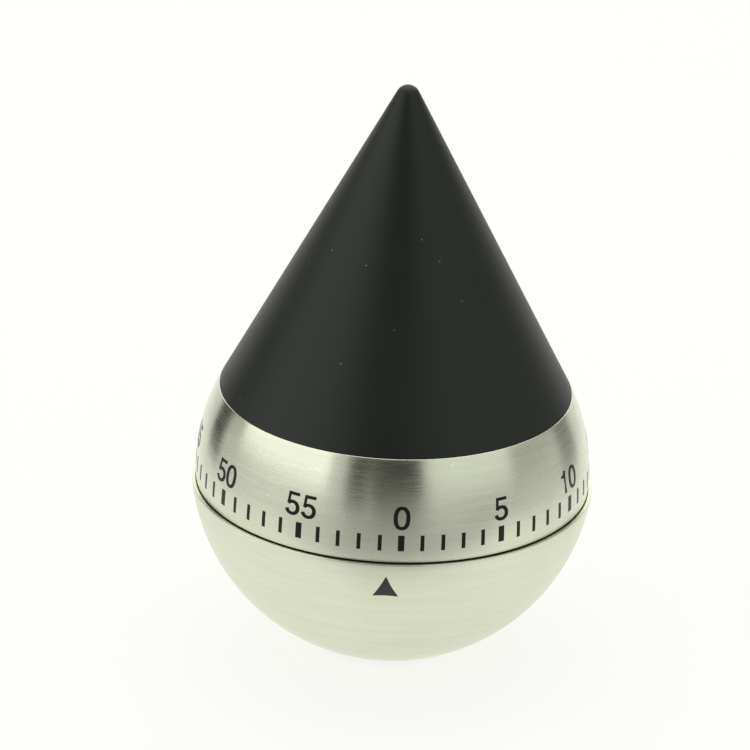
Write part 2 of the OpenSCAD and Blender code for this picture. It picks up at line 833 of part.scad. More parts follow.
module barrel_cover() {
    color(BRASS) translate([0, 0, deck_z + drum_top_l]) linear_extrude(height = cover_t) difference() {
        circle(r = drum_r);
        circle(r = arbor_r + run);
        rotate(alarm_a + 180) translate([drum_r - 2, 0]) circle(r = 0.6);
    }
}

// Flat spiral, hooked at the drum's wall, its inner coil free of the arbor
module mainspring() {
    turns = 6;
    steps = 20;
    strip = 0.3;
    r_in = arbor_r + 0.7;
    r_out = drum_r - drum_wall - strip - 0.02;
    function at_turn(i, grow) = polar(r_in + (r_out - r_in) * i / (turns * steps) + grow, 360 * i / steps);
    color(DARK_STEEL) translate([0, 0, deck_z + barrel_l + barrel_floor_t + spring_gap])
        linear_extrude(height = spring_h) polygon(concat(
            [for (i = [0:turns * steps]) at_turn(i, 0)],
            [for (i = [turns * steps:-1:0]) at_turn(i, strip)]));
}

module alarm_pinion() {
    color(DARK_STEEL) geared_staff(alarm_at, barrel_m, alarm_a + 180, barrel_l, barrel_floor_t);
}

module alarm_wheel() {
    color(BRASS) place(alarm_at, deck_z + alarm_l)
        toothed_wheel(alarm_m, alarm_z, aim(alarm_at, strike_at), wheel_t, staff_r, 4, 1.5, 4.4);
}

module strike_pinion() {
    color(DARK_STEEL) geared_staff(strike_at, alarm_m, aim(strike_at, alarm_at), alarm_l, wheel_t);
}

module strike_wheel() {
    color(BRASS) place(strike_at, deck_z + strike_l)
        ratchet_wheel(strike_teeth, strike_root, strike_tip, wheel_t, staff_r);
}

module strike_anchor() {
    tail = norm(finger_at - hammer_at) - finger_r - 0.9;
    tail_end = hammer_at + polar(tail, aim(hammer_at, finger_at));
    color(BRASS) translate([0, 0, deck_z + strike_l + wheel_t + lever_rise])
        linear_extrude(height = wheel_t) difference() {
            union() {
                for (p = anchor_spots) link_2d(hammer_at, p, arm_w, 1.4, 0.65);
                link_2d(hammer_at, tail_end, arm_w, 1.4, 0.55);
            }
            translate(hammer_at) circle(r = staff_r);
            for (p = anchor_spots) translate(p) circle(r = anchor_pin_r);
        }
}

module strike_pins() {
    color(DARK_STEEL) for (p = anchor_spots) place(p, deck_z + strike_l - 0.2)
        cylinder(r = anchor_pin_r, h = 2 * wheel_t + lever_rise + 0.3);
}

// Goes down through the bottom plate to carry the hammer
module hammer_arbor() {
    color(DARK_STEEL) place(hammer_at) {
        translate([0, 0, arm_z - 0.1]) cylinder(r = staff_r, h = top_plate_z - end_shake - arm_z + 0.1);
        translate([0, 0, top_plate_z - 1]) cylinder(r = pivot_r, h = 1 + plate_t - end_shake);
    }
}

module hammer_arm() {
    color(ZINC) translate([0, 0, arm_z]) linear_extrude(height = arm_t) difference() {
        link_2d(hammer_at, head_at, 1.5, 1.5, 1.2);
        translate(hammer_at) circle(r = staff_r);
        translate(head_at) circle(r = 0.6);
    }
}

module hammer_head() {
    color(BRASS) place(head_at) {
        translate([0, 0, arm_z - head_h]) cylinder(r = head_r, h = head_h);
        translate([0, 0, arm_z - eps]) cylinder(r = 0.6, h = arm_t + eps);
    }
}

// ---- Detent between cam and hammer ----

module detent_lever() {
    color(ZINC) translate([0, 0, lever_z]) linear_extrude(height = lever_t) difference() {
        union() {
            link_2d(stud_at, tip_at, 2 * lever_tip_r, 1.7, lever_tip_r);
            link_2d(stud_at, finger_at, lever_w, 1.7, 0.8);
        }
        translate(stud_at) circle(r = stud_r + run);
        translate(finger_at) circle(r = finger_r);
    }
}

module detent_finger() {
    low = deck_z + strike_l + wheel_t + lever_rise - 0.4;
    color(DARK_STEEL) place(finger_at, low) cylinder(r = finger_r, h = lever_z + lever_t - low);
}

module detent_stud() {
    color(DARK_STEEL) place(stud_at) {
        translate([0, 0, top_plate_z]) cylinder(r = stud_r * 0.7, h = plate_t + eps);
        translate([0, 0, roof_z]) cylinder(r = stud_r + 0.7, h = lever_z - roof_z - 0.1);
        translate([0, 0, roof_z]) cylinder(r = stud_r, h = lever_z + lever_t + 0.7 - roof_z);
    }
}

module detent_clip() {
    color(DARK_STEEL) place(stud_at, lever_z + lever_t + 0.1) tube(stud_r + 0.7, stud_r, 0.4);
}

module spring_post() {
    color(DARK_STEEL) place(post_pin_at) {
        translate([0, 0, top_plate_z]) cylinder(r = post_pin_r * 0.7, h = plate_t + eps);
        difference() {
            translate([0, 0, roof_z]) cylinder(r = post_pin_r, h = lever_z + lever_t - roof_z + 0.3);
            rotate([0, 0, aim(post_pin_at, leaf_end)])
                translate([-1, -leaf_t / 2, lever_z - 0.05]) cube([2, leaf_t, 2]);
        }
    }
}

// The free end lies just outside the lever's tip when the lever is fully lifted
lift_turn = aim(stud_at, tip_at) - detent_swing;
leaf_end = stud_at + polar(norm(tip_at - stud_at), lift_turn) + polar(lever_tip_r + 0.35, lift_turn - 90);

module detent_spring() {
    color(STEEL) translate([0, 0, lever_z]) linear_extrude(height = lever_t - 0.1)
        bar_2d(post_pin_at, leaf_end, leaf_t);
}

cone_cap();
dial_ring();
dial_carrier();
carrier_screws();
winding_arbor();
arbor_clip();
main_wheel();
clutch_washer();
clutch_collar();
release_cam();
bowl_shell();
movement_housing();
foot_plate();
foot_pad();
foot_screws();
bottom_plate();
top_plate();
pillars();
pillar_nuts();
movement_screws();
bell();
bell_post();
bell_washer();
bell_screw();
barrel_drum();
barrel_cover();
mainspring();
second_wheel();
second_pinion();
third_wheel();
third_pinion();
escape_wheel();
escape_pinion();
pallet_lever();
pallet_pins();
pallet_arbor();
swing_weight();
alarm_wheel();
alarm_pinion();
strike_wheel();
strike_pinion();
strike_anchor();
strike_pins();
hammer_arbor();
hammer_arm();
hammer_head();
detent_lever();
detent_finger();
detent_stud();
detent_clip();
detent_spring();
spring_post();
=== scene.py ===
"""Looks of a drop-shaped wind-up kitchen timer: black cone, graduated steel ring, steel bowl, clockwork.

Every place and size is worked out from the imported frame, in metres, +Z up, pointer towards -Y.
"""

import json
import logging
import math
from dataclasses import dataclass, field
from enum import Enum
from typing import Callable, ClassVar, Iterable, Sequence

import bpy
import numpy as np
from mathutils import Matrix, Vector
from mathutils.geometry import delaunay_2d_cdt


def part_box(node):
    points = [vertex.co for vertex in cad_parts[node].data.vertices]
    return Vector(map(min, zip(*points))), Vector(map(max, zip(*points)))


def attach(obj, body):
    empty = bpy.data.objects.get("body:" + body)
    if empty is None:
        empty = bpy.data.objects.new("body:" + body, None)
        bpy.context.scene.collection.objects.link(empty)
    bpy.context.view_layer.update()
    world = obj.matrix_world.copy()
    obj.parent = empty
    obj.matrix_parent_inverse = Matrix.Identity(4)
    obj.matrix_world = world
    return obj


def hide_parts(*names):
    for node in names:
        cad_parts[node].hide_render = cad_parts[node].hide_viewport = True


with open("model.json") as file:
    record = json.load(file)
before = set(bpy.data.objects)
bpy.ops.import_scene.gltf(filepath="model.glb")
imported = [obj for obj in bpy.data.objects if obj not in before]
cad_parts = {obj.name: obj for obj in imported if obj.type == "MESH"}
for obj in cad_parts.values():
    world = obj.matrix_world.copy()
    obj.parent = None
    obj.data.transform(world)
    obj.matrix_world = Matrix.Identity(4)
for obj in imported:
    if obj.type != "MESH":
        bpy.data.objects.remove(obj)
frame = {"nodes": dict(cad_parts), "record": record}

log = logging.getLogger("timer")

MM = 0.001
FULL_TURN = 2 * math.pi
GRAIN = "grain"
TURNED_UV = "turned"
ON_AXIS = 1e-9
WELD = 1e-7
FILM_WELD = 1e-4
SIDE_SHARE = 0.49
WHITE = (1.0, 1.0, 1.0)
NOISE_SPAN = (0.3, 0.7)
MIX_AMOUNT, MIX_FIRST, MIX_SECOND, MIX_RESULT = 0, 6, 7, 2

Point = tuple[float, float]
Corner = tuple[float, float, float]
Colour = tuple[float, float, float]
Face = tuple[int, ...]
Socket = bpy.types.NodeSocket
Lay = Callable[[float, float, float], Vector]


class Body(Enum):
    """The rigid bodies of the clockwork that visual pieces ride on."""

    BASE = "base"
    DIAL = "dial"


# ---------------------------------------------------------------- shape of the case


def rim(node: str, height: float, reach: float = 0.02 * MM) -> tuple[float, float]:
    """Innermost and outermost radius of a CAD node at one height.

    Args:
        node: name of the CAD node.
        height: height to look at, in metres.
        reach: how far from the height a vertex may lie.

    Returns:
        The two radii in metres.
    """
    co = np.array([v.co for v in frame["nodes"][node].data.vertices])
    near = co[np.abs(co[:, 2] - height) < reach]
    radii = np.hypot(near[:, 0], near[:, 1])
    return float(radii.min()), float(radii.max())


@dataclass(frozen=True)
class Sphere:
    """A ball skin centred on the timer's axis, on which curved sheet and print lie."""

    radius: float
    height: float

    def at(self, turn: float, rise: float, lift: float = 0.0) -> Vector:
        """Point on the skin.

        Args:
            turn: angle about the axis from the front, towards the viewer's right.
            rise: angle above the widest circle.
            lift: distance outside the skin.

        Returns:
            The point, in metres.
        """
        r = self.radius + lift
        flat = r * math.cos(rise)
        return Vector((flat * math.sin(turn), -flat * math.cos(turn), self.height + r * math.sin(rise)))

    def wrap(self, turn: float = 0.0) -> Lay:
        """How print lies on the skin around one turn.

        Args:
            turn: where the middle of the print is.

        Returns:
            A function of (x, y, lift), x to the right and y along the skin from its widest circle.
        """

        def to_skin(x: float, y: float, lift: float) -> Vector:
            """Place of one point of the print."""
            rise = y / self.radius
            return self.at(turn + x / (self.radius * math.cos(rise)), rise, lift)

        return to_skin

    def arc(self, low: float, high: float, step: float) -> list[Point]:
        """Meridian of the skin from one height to another, as (radius, height) points.

        Args:
            low: height where the arc starts.
            high: height where it ends.
            step: largest angle between two points, in radians.

        Returns:
            The points in order.
        """
        a = math.asin((low - self.height) / self.radius)
        b = math.asin((high - self.height) / self.radius)
        count = max(2, math.ceil(abs(b - a) / step))
        angles = [a + (b - a) * i / count for i in range(count + 1)]
        return [(self.radius * math.cos(t), self.height + self.radius * math.sin(t)) for t in angles]


@dataclass(frozen=True)
class CaseShape:
    """The outside of the case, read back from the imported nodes."""

    ball: Sphere
    ring: Sphere
    foot_edge: float
    bowl_top: float
    ring_low: float
    ring_top: float
    flange_radius: float
    cone_foot: float
    spigot_radius: float
    spigot_low: float
    height: float
    pad_radius: float
    pad_top: float
    floor_top: float
    steel: float

    @classmethod
    def from_frame(cls) -> "CaseShape":
        """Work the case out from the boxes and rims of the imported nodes.

        Returns:
            The shape, in metres.
        """
        bowl_low, bowl_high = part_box("bowl_shell")
        ring_low, ring_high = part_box("dial_ring")
        cone_low, cone_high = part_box("cone_cap")
        pad_low, pad_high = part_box("foot_pad")
        floor_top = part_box("foot_plate")[1].z
        pad = pad_high.x
        top = bowl_high.z
        ball_z = (bowl_high.x**2 - pad**2 + top**2) / (2 * top)
        ball_r = math.hypot(pad, ball_z)
        ring_r = ring_high.x
        flange_r, ring_top_r = rim("dial_ring", ring_high.z)
        ring_z = ring_high.z - math.sqrt(ring_r**2 - ring_top_r**2)
        return cls(
            ball=Sphere(ball_r, ball_z),
            ring=Sphere(ring_r, ring_z),
            foot_edge=bowl_low.z,
            bowl_top=top,
            ring_low=ring_low.z,
            ring_top=ring_high.z,
            flange_radius=flange_r,
            cone_foot=cone_high.x,
            spigot_radius=rim("cone_cap", cone_low.z)[1],
            spigot_low=cone_low.z,
            height=cone_high.z,
            pad_radius=pad,
            pad_top=pad_high.z,
            floor_top=floor_top,
            steel=floor_top - bowl_low.z,
        )


# ---------------------------------------------------------------- node recipes


class Tree:
    """A node tree being drawn."""

    def __init__(self, tree: bpy.types.NodeTree) -> None:
        """Take an empty tree."""
        self.tree = tree

    def node(
        self,
        kind: str,
        feeds: dict[str | int, object] | None = None,
        **settings: object,
    ) -> bpy.types.Node:
        """Add a node.

        Args:
            kind: the node's Blender type name.
            feeds: what goes into its inputs, a socket or a constant.
            settings: properties of the node.

        Returns:
            The node.
        """
        made = self.tree.nodes.new(kind)
        for key, value in settings.items():
            setattr(made, key, value)
        for socket, value in (feeds or {}).items():
            if isinstance(value, Socket):
                self.tree.links.new(value, made.inputs[socket])
            else:
                made.inputs[socket].default_value = value
        return made

    def maths(self, operation: str, *terms: Socket | float) -> Socket:
        """Work out one number from others with a Math node."""
        return self.node("ShaderNodeMath", dict(enumerate(terms)), operation=operation).outputs[0]

    def vector(self, *parts: Socket | float) -> Socket:
        """Join numbers into a vector."""
        return self.node("ShaderNodeCombineXYZ", dict(enumerate(parts))).outputs[0]


class Recipe(Tree):
    """A Geometry Nodes tree with named inputs, which runs once and leaves one plain mesh."""

    def __init__(self, name: str, inputs: dict[str, str]) -> None:
        """Start the tree.

        Args:
            name: name of the tree.
            inputs: kind of each named input, such as Int or Object.
        """
        super().__init__(bpy.data.node_groups.new(name, "GeometryNodeTree"))
        self.tree.interface.new_socket("Geometry", in_out="OUTPUT", socket_type="NodeSocketGeometry")
        for label, kind in inputs.items():
            self.tree.interface.new_socket(label, in_out="INPUT", socket_type="NodeSocket" + kind)
        self.given = self.node("NodeGroupInput").outputs

    def store(self, geometry: Socket, name: str, value: Socket, kind: str, domain: str) -> Socket:
        """Keep a value on the geometry under a name, and give the geometry."""
        feeds = {"Geometry": geometry, "Name": name, "Value": value}
        return self.node("GeometryNodeStoreNamedAttribute", feeds, data_type=kind, domain=domain).outputs[0]

    def close(self, geometry: Socket, finish: Socket) -> None:
        """End the tree: make instances real and give them their finish.

        Args:
            geometry: what the tree has made.
            finish: the material it gets.
        """
        real = self.node("GeometryNodeRealizeInstances", {"Geometry": geometry}).outputs[0]
        done = self.node("GeometryNodeSetMaterial", {"Geometry": real, "Material": finish}).outputs[0]
        self.node("NodeGroupOutput", {0: done})

    def make(
        self,
        name: str,
        values: dict[str, object],
        patterns: Sequence[bpy.types.Object],
    ) -> bpy.types.Object:
        """Run the tree and keep the result as a plain mesh.

        Args:
            name: name of the piece.
            values: what each named input is.
            patterns: objects that the tree works from, which are cleared away afterwards.

        Returns:
            The piece.
        """
        host = add_object(name + "_host", bpy.data.meshes.new(name + "_host"))
        modifier = host.modifiers.new(name, "NODES")
        modifier.node_group = self.tree
        for item in self.tree.interface.items_tree:
            if item.in_out == "INPUT":
                modifier[item.identifier] = values[item.name]
        graph = bpy.context.evaluated_depsgraph_get()
        mesh = bpy.data.meshes.new_from_object(host.evaluated_get(graph))
        mesh.name = name
        for spare in (host, *patterns):
            bpy.data.objects.remove(spare)
        return add_object(name, mesh)


def add_object(name: str, data: bpy.types.ID | None) -> bpy.types.Object:
    """Put an object into the scene, at the origin.

    Args:
        name: name of the object.
        data: its mesh, light or camera.

    Returns:
        The object.
    """
    obj = bpy.data.objects.new(name, data)
    bpy.context.scene.collection.objects.link(obj)
    return obj


# ---------------------------------------------------------------- turned meshes


def rounded(corners: Sequence[Corner], steps: int = 5) -> list[Point]:
    """Round the corners of an outline.

    Args:
        corners: (radius from the axis, height, corner radius) in order.
        steps: how many chords make one rounded corner.

    Returns:
        The outline's points.
    """
    out: list[Point] = []
    count = len(corners)
    for i, (x, z, r) in enumerate(corners):
        here = Vector((x, z))
        if r <= 0:
            out.append((x, z))
            continue
        before = Vector(corners[i - 1][:2]) - here
        after = Vector(corners[(i + 1) % count][:2]) - here
        half = before.angle(after) / 2
        back = min(r / math.tan(half), SIDE_SHARE * before.length, SIDE_SHARE * after.length)
        a = here + before.normalized() * back
        b = here + after.normalized() * back
        for k in range(steps + 1):
            t = k / steps
            p = a * (1 - t) ** 2 + here * 2 * t * (1 - t) + b * t**2
            out.append((p.x, p.y))
    return out


def plain(points: Iterable[Point]) -> list[Corner]:
    """The same points as corners that stay as they are."""
    return [(x, z, 0.0) for x, z in points]


def turning() -> Recipe:
    """Recipe that turns an outline about the Z axis, with its grain and its UV map.

    The outline's points hold (radius, distance along the outline, height). Each point of the result
    keeps its direction round the axis and its distance along the outline, which the brushed finishes
    follow.

    Returns:
        The recipe, with the outline, the number of flats and the finish as its inputs.
    """
    r = Recipe("turning", {"Outline": "Object", "Flats": "Int", "Finish": "Material"})
    flats = r.given["Flats"]
    outline = r.node("GeometryNodeObjectInfo", {"Object": r.given["Outline"]}).outputs["Geometry"]
    rows = r.node("GeometryNodeAttributeDomainSize", {"Geometry": outline}).outputs["Point Count"]
    columns = r.maths("ADD", flats, 1.0)
    sheet = r.node("GeometryNodeMeshGrid", {"Vertices X": rows, "Vertices Y": columns}).outputs["Mesh"]
    index = r.node("GeometryNodeInputIndex").outputs[0]
    row = r.maths("FLOOR", r.maths("DIVIDE", index, columns))
    share = r.maths("DIVIDE", r.maths("MODULO", index, columns), flats)
    turn = r.maths("MULTIPLY", share, FULL_TURN)
    cos, sin = r.maths("COSINE", turn), r.maths("SINE", turn)
    place_in_row = r.node("GeometryNodeInputPosition").outputs[0]
    sample = r.node(
        "GeometryNodeSampleIndex",
        {"Geometry": outline, "Value": place_in_row, "Index": row},
        data_type="FLOAT_VECTOR",
    )
    radius, along, height = r.node("ShaderNodeSeparateXYZ", {0: sample.outputs[0]}).outputs
    wall = r.node(
        "GeometryNodeFieldOnDomain",
        {0: r.vector(along, share)},
        data_type="FLOAT_VECTOR",
        domain="POINT",
    )
    grain = r.vector(cos, sin, r.maths("DIVIDE", along, MM))
    grained = r.store(sheet, GRAIN, grain, "FLOAT_VECTOR", "POINT")
    mapped = r.store(grained, TURNED_UV, wall.outputs[0], "FLOAT2", "CORNER")
    spot = r.vector(r.maths("MULTIPLY", radius, cos), r.maths("MULTIPLY", radius, sin), height)
    turned = r.node("GeometryNodeSetPosition", {"Geometry": mapped, "Position": spot}).outputs[0]
    whole = r.node("GeometryNodeMergeByDistance", {"Geometry": turned, "Distance": WELD}).outputs[0]
    r.close(whole, r.given["Finish"])
    return r


def revolve(name: str, outline: Sequence[Point], flats: int, finish: bpy.types.Material) -> bpy.types.Object:
    """Turn an outline about the Z axis into one closed piece.

    Args:
        name: name of the piece.
        outline: (radius, height) points in order, a loop or from the axis to the axis.
        flats: how many flats make the circle.
        finish: the piece's material.

    Returns:
        The new piece.
    """
    is_loop = outline[0][0] > ON_AXIS
    path = [*outline, outline[0]] if is_loop else list(outline)
    along = np.concatenate([[0.0], np.cumsum([math.dist(a, b) for a, b in zip(path, path[1:])])])
    mesh = bpy.data.meshes.new(name + "_outline")
    mesh.from_pydata([(x, float(s), z) for (x, z), s in zip(path, along)], [], [])
    pattern = add_object(name + "_outline", mesh)
    piece = turning().make(name, {"Outline": pattern, "Flats": flats, "Finish": finish}, [pattern])
    if signed_volume(piece.data) < 0:
        piece.data.flip_normals()
    smooth(piece.data)
    return piece


def smooth(mesh: bpy.types.Mesh, sharp_deg: float = 35.0) -> None:
    """Shade a mesh smooth between edges that bend more than an angle."""
    mesh.shade_smooth()
    mesh.set_sharp_from_angle(angle=math.radians(sharp_deg))


def signed_volume(mesh: bpy.types.Mesh) -> float:
    """Volume inside a closed mesh.

    Args:
        mesh: the mesh.

    Returns:
        The volume, below zero where the mesh faces inwards.
    """
    mesh.calc_loop_triangles()
    points = np.array([v.co for v in mesh.vertices])
    a, b, c = (points[[t.vertices[i] for t in mesh.loop_triangles]] for i in range(3))
    return float(np.einsum("ij,ij->i", a, np.cross(b, c)).sum() / 6)


def solid(name: str, verts: Sequence[Vector], faces: Sequence[Face]) -> bpy.types.Object:
    """Make a closed piece that faces outwards.

    Args:
        name: name of the piece.
        verts: its points.
        faces: its faces, as numbers of points.

    Returns:
        The piece.
    """
    mesh = bpy.data.meshes.new(name)
    mesh.from_pydata([tuple(v) for v in verts], [], faces)
    mesh.update()
    if signed_volume(mesh) < 0:
        mesh.flip_normals()
    smooth(mesh)
    return add_object(name, mesh)


# ---------------------------------------------------------------- finishes


class Draft(Tree):
    """A material being drawn: one Principled shader and the nodes that feed it."""

    def __init__(self, name: str) -> None:
        """Start a material that has nothing but its shader.

        Args:
            name: name of the material.
        """
        self.material = bpy.data.materials.new(name)
        self.material.use_nodes = True
        super().__init__(self.material.node_tree)
        self.tree.nodes.clear()
        self.shader = self.node("ShaderNodeBsdfPrincipled")
        self.output = self.node("ShaderNodeOutputMaterial", {"Surface": self.shader.outputs["BSDF"]})

    def shade(self, **values: Socket | Colour | float) -> None:
        """Feed or set inputs of the shader.

        Args:
            values: a socket or a constant for each input, with underscores for the spaces in its name.
        """
        for key, value in values.items():
            socket = self.shader.inputs[key.replace("_", " ").title().replace("Ior", "IOR")]
            if isinstance(value, Socket):
                self.tree.links.new(value, socket)
            else:
                socket.default_value = (*value, 1.0) if isinstance(value, tuple) else value

    def grain(self, scale: Colour, turned: bool = True) -> Socket:
        """Coordinates for a pattern.

        Args:
            scale: how often the pattern repeats along each axis.
            turned: follow the piece's own turned grain instead of its place.

        Returns:
            The socket with the scaled coordinates.
        """
        if turned:
            source = self.node("ShaderNodeAttribute", attribute_name=GRAIN).outputs["Vector"]
        else:
            source = self.node("ShaderNodeTexCoord").outputs["Object"]
        return self.node("ShaderNodeMapping", {"Vector": source, "Scale": scale}).outputs["Vector"]

    def place(self) -> Socket:
        """Coordinates of the piece itself, in metres."""
        return self.grain((1.0, 1.0, 1.0), False)

    def noise(self, at: Socket, scale: float, detail: float = 3.0, rough: float = 0.55) -> Socket:
        """Noise pattern at some coordinates, with its scale, octaves and weight of the finer ones."""
        feeds = {"Vector": at, "Scale": scale, "Detail": detail, "Roughness": rough}
        return self.node("ShaderNodeTexNoise", feeds).outputs["Fac"]

    def spread(self, value: Socket, low: float, high: float, out_low: float, out_high: float) -> Socket:
        """Map a value from low..high to out_low..out_high, clamped."""
        feeds = {"Value": value, "From Min": low, "From Max": high, "To Min": out_low, "To Max": out_high}
        return self.node("ShaderNodeMapRange", feeds, clamp=True).outputs["Result"]

    def share(self, value: Socket, low: float, high: float) -> Socket:
        """How far a value is from low to high, from 0 to 1."""
        return self.spread(value, low, high, 0.0, 1.0)

    def blend(self, amount: Socket, a: Colour | Socket, b: Colour) -> Socket:
        """Mix two colours.

        Args:
            amount: how much of the second colour.
            a: first colour, or a socket that gives it.
            b: second colour.

        Returns:
            The socket with the colour.
        """
        first = (*a, 1.0) if isinstance(a, tuple) else a
        feeds = {MIX_AMOUNT: amount, MIX_FIRST: first, MIX_SECOND: (*b, 1.0)}
        return self.node("ShaderNodeMix", feeds, data_type="RGBA").outputs[MIX_RESULT]

    def bump(self, height: Socket, depth: float, strength: float) -> None:
        """Raise the surface by a pattern, depth metres at most."""
        feeds = {"Height": height, "Distance": depth, "Strength": strength}
        self.shade(normal=self.node("ShaderNodeBump", feeds).outputs["Normal"])


@dataclass(frozen=True)
class Finish:
    """A surface finish: its name, colour and how rough it is."""

    name: str
    colour: Colour
    roughness: float

    def build(self) -> bpy.types.Material:
        """Draw the finish.

        Returns:
            The material.
        """
        draft = Draft(self.name)
        self.draw(draft)
        return draft.material

    def draw(self, d: Draft) -> None:
        """Feed the shader of a new material."""
        raise NotImplementedError

    def tones(self, d: Draft, share: Socket, dark: float, light: float) -> Socket:
        """The finish's colour, from a darker to a lighter shade of it."""
        return d.blend(share, scaled(self.colour, dark), scaled(self.colour, light))

    def gloss(self, d: Draft, pattern: Socket, low: float, high: float, less: float, more: float) -> Socket:
        """Roughness that runs from less below the finish's own to more above it, as a pattern does."""
        return d.spread(pattern, low, high, self.roughness - less, self.roughness + more)


def scaled(colour: Colour, by: float) -> Colour:
    """A colour made lighter or darker."""
    return tuple(min(1.0, c * by) for c in colour)


@dataclass(frozen=True)
class TurnedSteel(Finish):
    """Sheet steel brushed round the axis, with faint smudges and a few hair scratches."""

    lines: float = 9.0
    streak: float = 4.0
    wander: Colour = (5.0, 5.0, 0.55)
    patch: Colour = (2.2, 2.2, 0.3)
    breaks: Colour = (40.0, 40.0, 5.0)
    smudge: Colour = (70.0, 70.0, 50.0)
    depth: float = 0.0009 * MM
    anisotropy: float = 0.75
    hair: float = 0.02
    scratched: float = 0.53

    def scratches(self, d: Draft) -> Socket:
        """Thin wandering scratches that gather in a few patches.

        Args:
            d: the material being drawn.

        Returns:
            How much of a scratch each place is, from 0 to 1.
        """
        drift = d.noise(d.grain(self.wander), 1.0, 1.0)
        from_line = d.maths("ABSOLUTE", d.maths("SUBTRACT", drift, 0.5))
        patch = d.share(d.noise(d.grain(self.patch), 1.0, 1.0), self.scratched, self.scratched + 0.05)
        broken = d.share(d.noise(d.grain(self.breaks), 1.0, 2.0), 0.45, 0.6)
        line = d.spread(from_line, 0.0, self.hair, 1.0, 0.0)
        return d.maths("MULTIPLY", d.maths("MULTIPLY", line, patch), broken)

    def draw(self, d: Draft) -> None:
        """Draw brushed lines round the axis, smudges and scratches.

        Args:
            d: the material being drawn.
        """
        brushed = d.noise(d.grain((self.streak, self.streak, self.lines)), 1.0, 4.0, 0.65)
        coarse = d.noise(d.grain((1.6, 1.6, self.lines * 0.16)), 1.0)
        smudge = d.noise(d.grain(self.smudge, False), 1.0)
        scratch = self.scratches(d)
        mixed = d.maths("ADD", brushed, d.maths("MULTIPLY", coarse, 0.9))
        base = self.tones(d, d.share(mixed, 0.6, 1.3), 0.93, 1.05)
        lit = d.blend(d.maths("MULTIPLY", scratch, 0.6), base, scaled(self.colour, 1.25))
        soft = d.spread(smudge, 0.35, 0.7, -0.02, 0.06)
        rough = d.maths("ADD", self.gloss(d, brushed, *NOISE_SPAN, 0.05, 0.05), soft)
        tangent = d.node("ShaderNodeTangent", direction_type="UV_MAP", uv_map=TURNED_UV).outputs["Tangent"]
        d.shade(base_color=lit, roughness=rough, metallic=1.0, anisotropic=self.anisotropy, tangent=tangent)
        d.bump(d.maths("ADD", brushed, d.maths("MULTIPLY", scratch, -2.0)), self.depth, 0.6)


@dataclass(frozen=True)
class MattBlack(Finish):
    """Matt black moulding with a fine spark grain, faint rub marks and a few specks of dust."""

    grain: float = 9000.0
    rub: Colour = (30.0, 30.0, 9.0)
    dust: float = 260.0
    clean: float = 0.42
    depth: float = 0.004 * MM
    specular: float = 0.45
    sheen_tint: Colour = WHITE
    dust_tone: Colour = (0.17, 0.18, 0.17)

    def specks(self, d: Draft, place: Socket) -> Socket:
        """Round specks in a few cells of a scattered pattern.

        Args:
            d: the material being drawn.
            place: coordinates of the piece.

        Returns:
            How much dust lies on each place, from 0 to 1.
        """
        cells = d.node("ShaderNodeTexVoronoi", {"Vector": place, "Scale": self.dust}, feature="F1").outputs
        speck = d.spread(cells["Distance"], 0.02, 0.045, 1.0, 0.0)
        chosen = d.node("ShaderNodeSeparateColor", {0: cells["Color"]}).outputs[0]
        return d.maths("MULTIPLY", speck, d.share(chosen, self.clean, self.clean + 0.005))

    def draw(self, d: Draft) -> None:
        """Draw grain, rub marks and dust.

        Args:
            d: the material being drawn.
        """
        place = d.place()
        rub = d.noise(d.grain(self.rub, False), 1.0, 4.0)
        tone = self.tones(d, d.share(rub, 0.3, 0.75), 0.8, 1.25)
        dusty = d.blend(self.specks(d, place), tone, self.dust_tone)
        d.shade(base_color=dusty, roughness=self.gloss(d, rub, 0.3, 0.8, 0.05, 0.06))
        d.shade(specular_ior_level=self.specular, specular_tint=self.sheen_tint)
        d.bump(d.noise(place, self.grain, 2.0), self.depth, 0.35)


@dataclass(frozen=True)
class Mottled(Finish):
    """Rubber or ink whose tone, gloss and height drift in small patches."""

    patch: float = 240.0
    pebble: float = 2600.0
    lighter: float = 1.8
    depth: float = 0.01 * MM
    specular: float = 0.5

    def draw(self, d: Draft) -> None:
        """Draw patches of tone and gloss over a pebbled surface.

        Args:
            d: the material being drawn.
        """
        patches = d.noise(d.place(), self.patch, 4.0)
        tone = self.tones(d, d.share(patches, 0.35, 0.7), 1.0, self.lighter)
        rough = self.gloss(d, patches, *NOISE_SPAN, 0.06, 0.05)
        d.shade(base_color=tone, roughness=rough, specular_ior_level=self.specular)
        d.bump(d.noise(d.place(), self.pebble, 2.0), self.depth, 0.5)


@dataclass(frozen=True)
class WorkedMetal(Finish):
    """Metal of the movement: rolled, stamped, turned or plated, by its grain and tarnish."""

    stretch: Colour = (400.0, 400.0, 400.0)
    tarnish: Colour = (0.3, 0.3, 0.3)
    tarnish_share: float = 0.35
    cloud: float = 220.0
    depth: float = 0.002 * MM

    def draw(self, d: Draft) -> None:
        """Draw working marks and tarnish.

        Args:
            d: the material being drawn.
        """
        worked = d.noise(d.grain(self.stretch, False), 6.0, 4.0, 0.6)
        tone = self.tones(d, d.share(worked, *NOISE_SPAN), 0.85, 1.1)
        dull = d.spread(d.noise(d.place(), self.cloud, 4.0), 0.45, 0.75, 0.0, self.tarnish_share)
        rough = self.gloss(d, worked, *NOISE_SPAN, 0.06, 0.06)
        uneven = d.maths("ADD", rough, d.maths("MULTIPLY", dull, 0.3))
        d.shade(base_color=d.blend(dull, tone, self.tarnish), roughness=uneven, metallic=1.0)
        d.bump(worked, self.depth, 0.5)


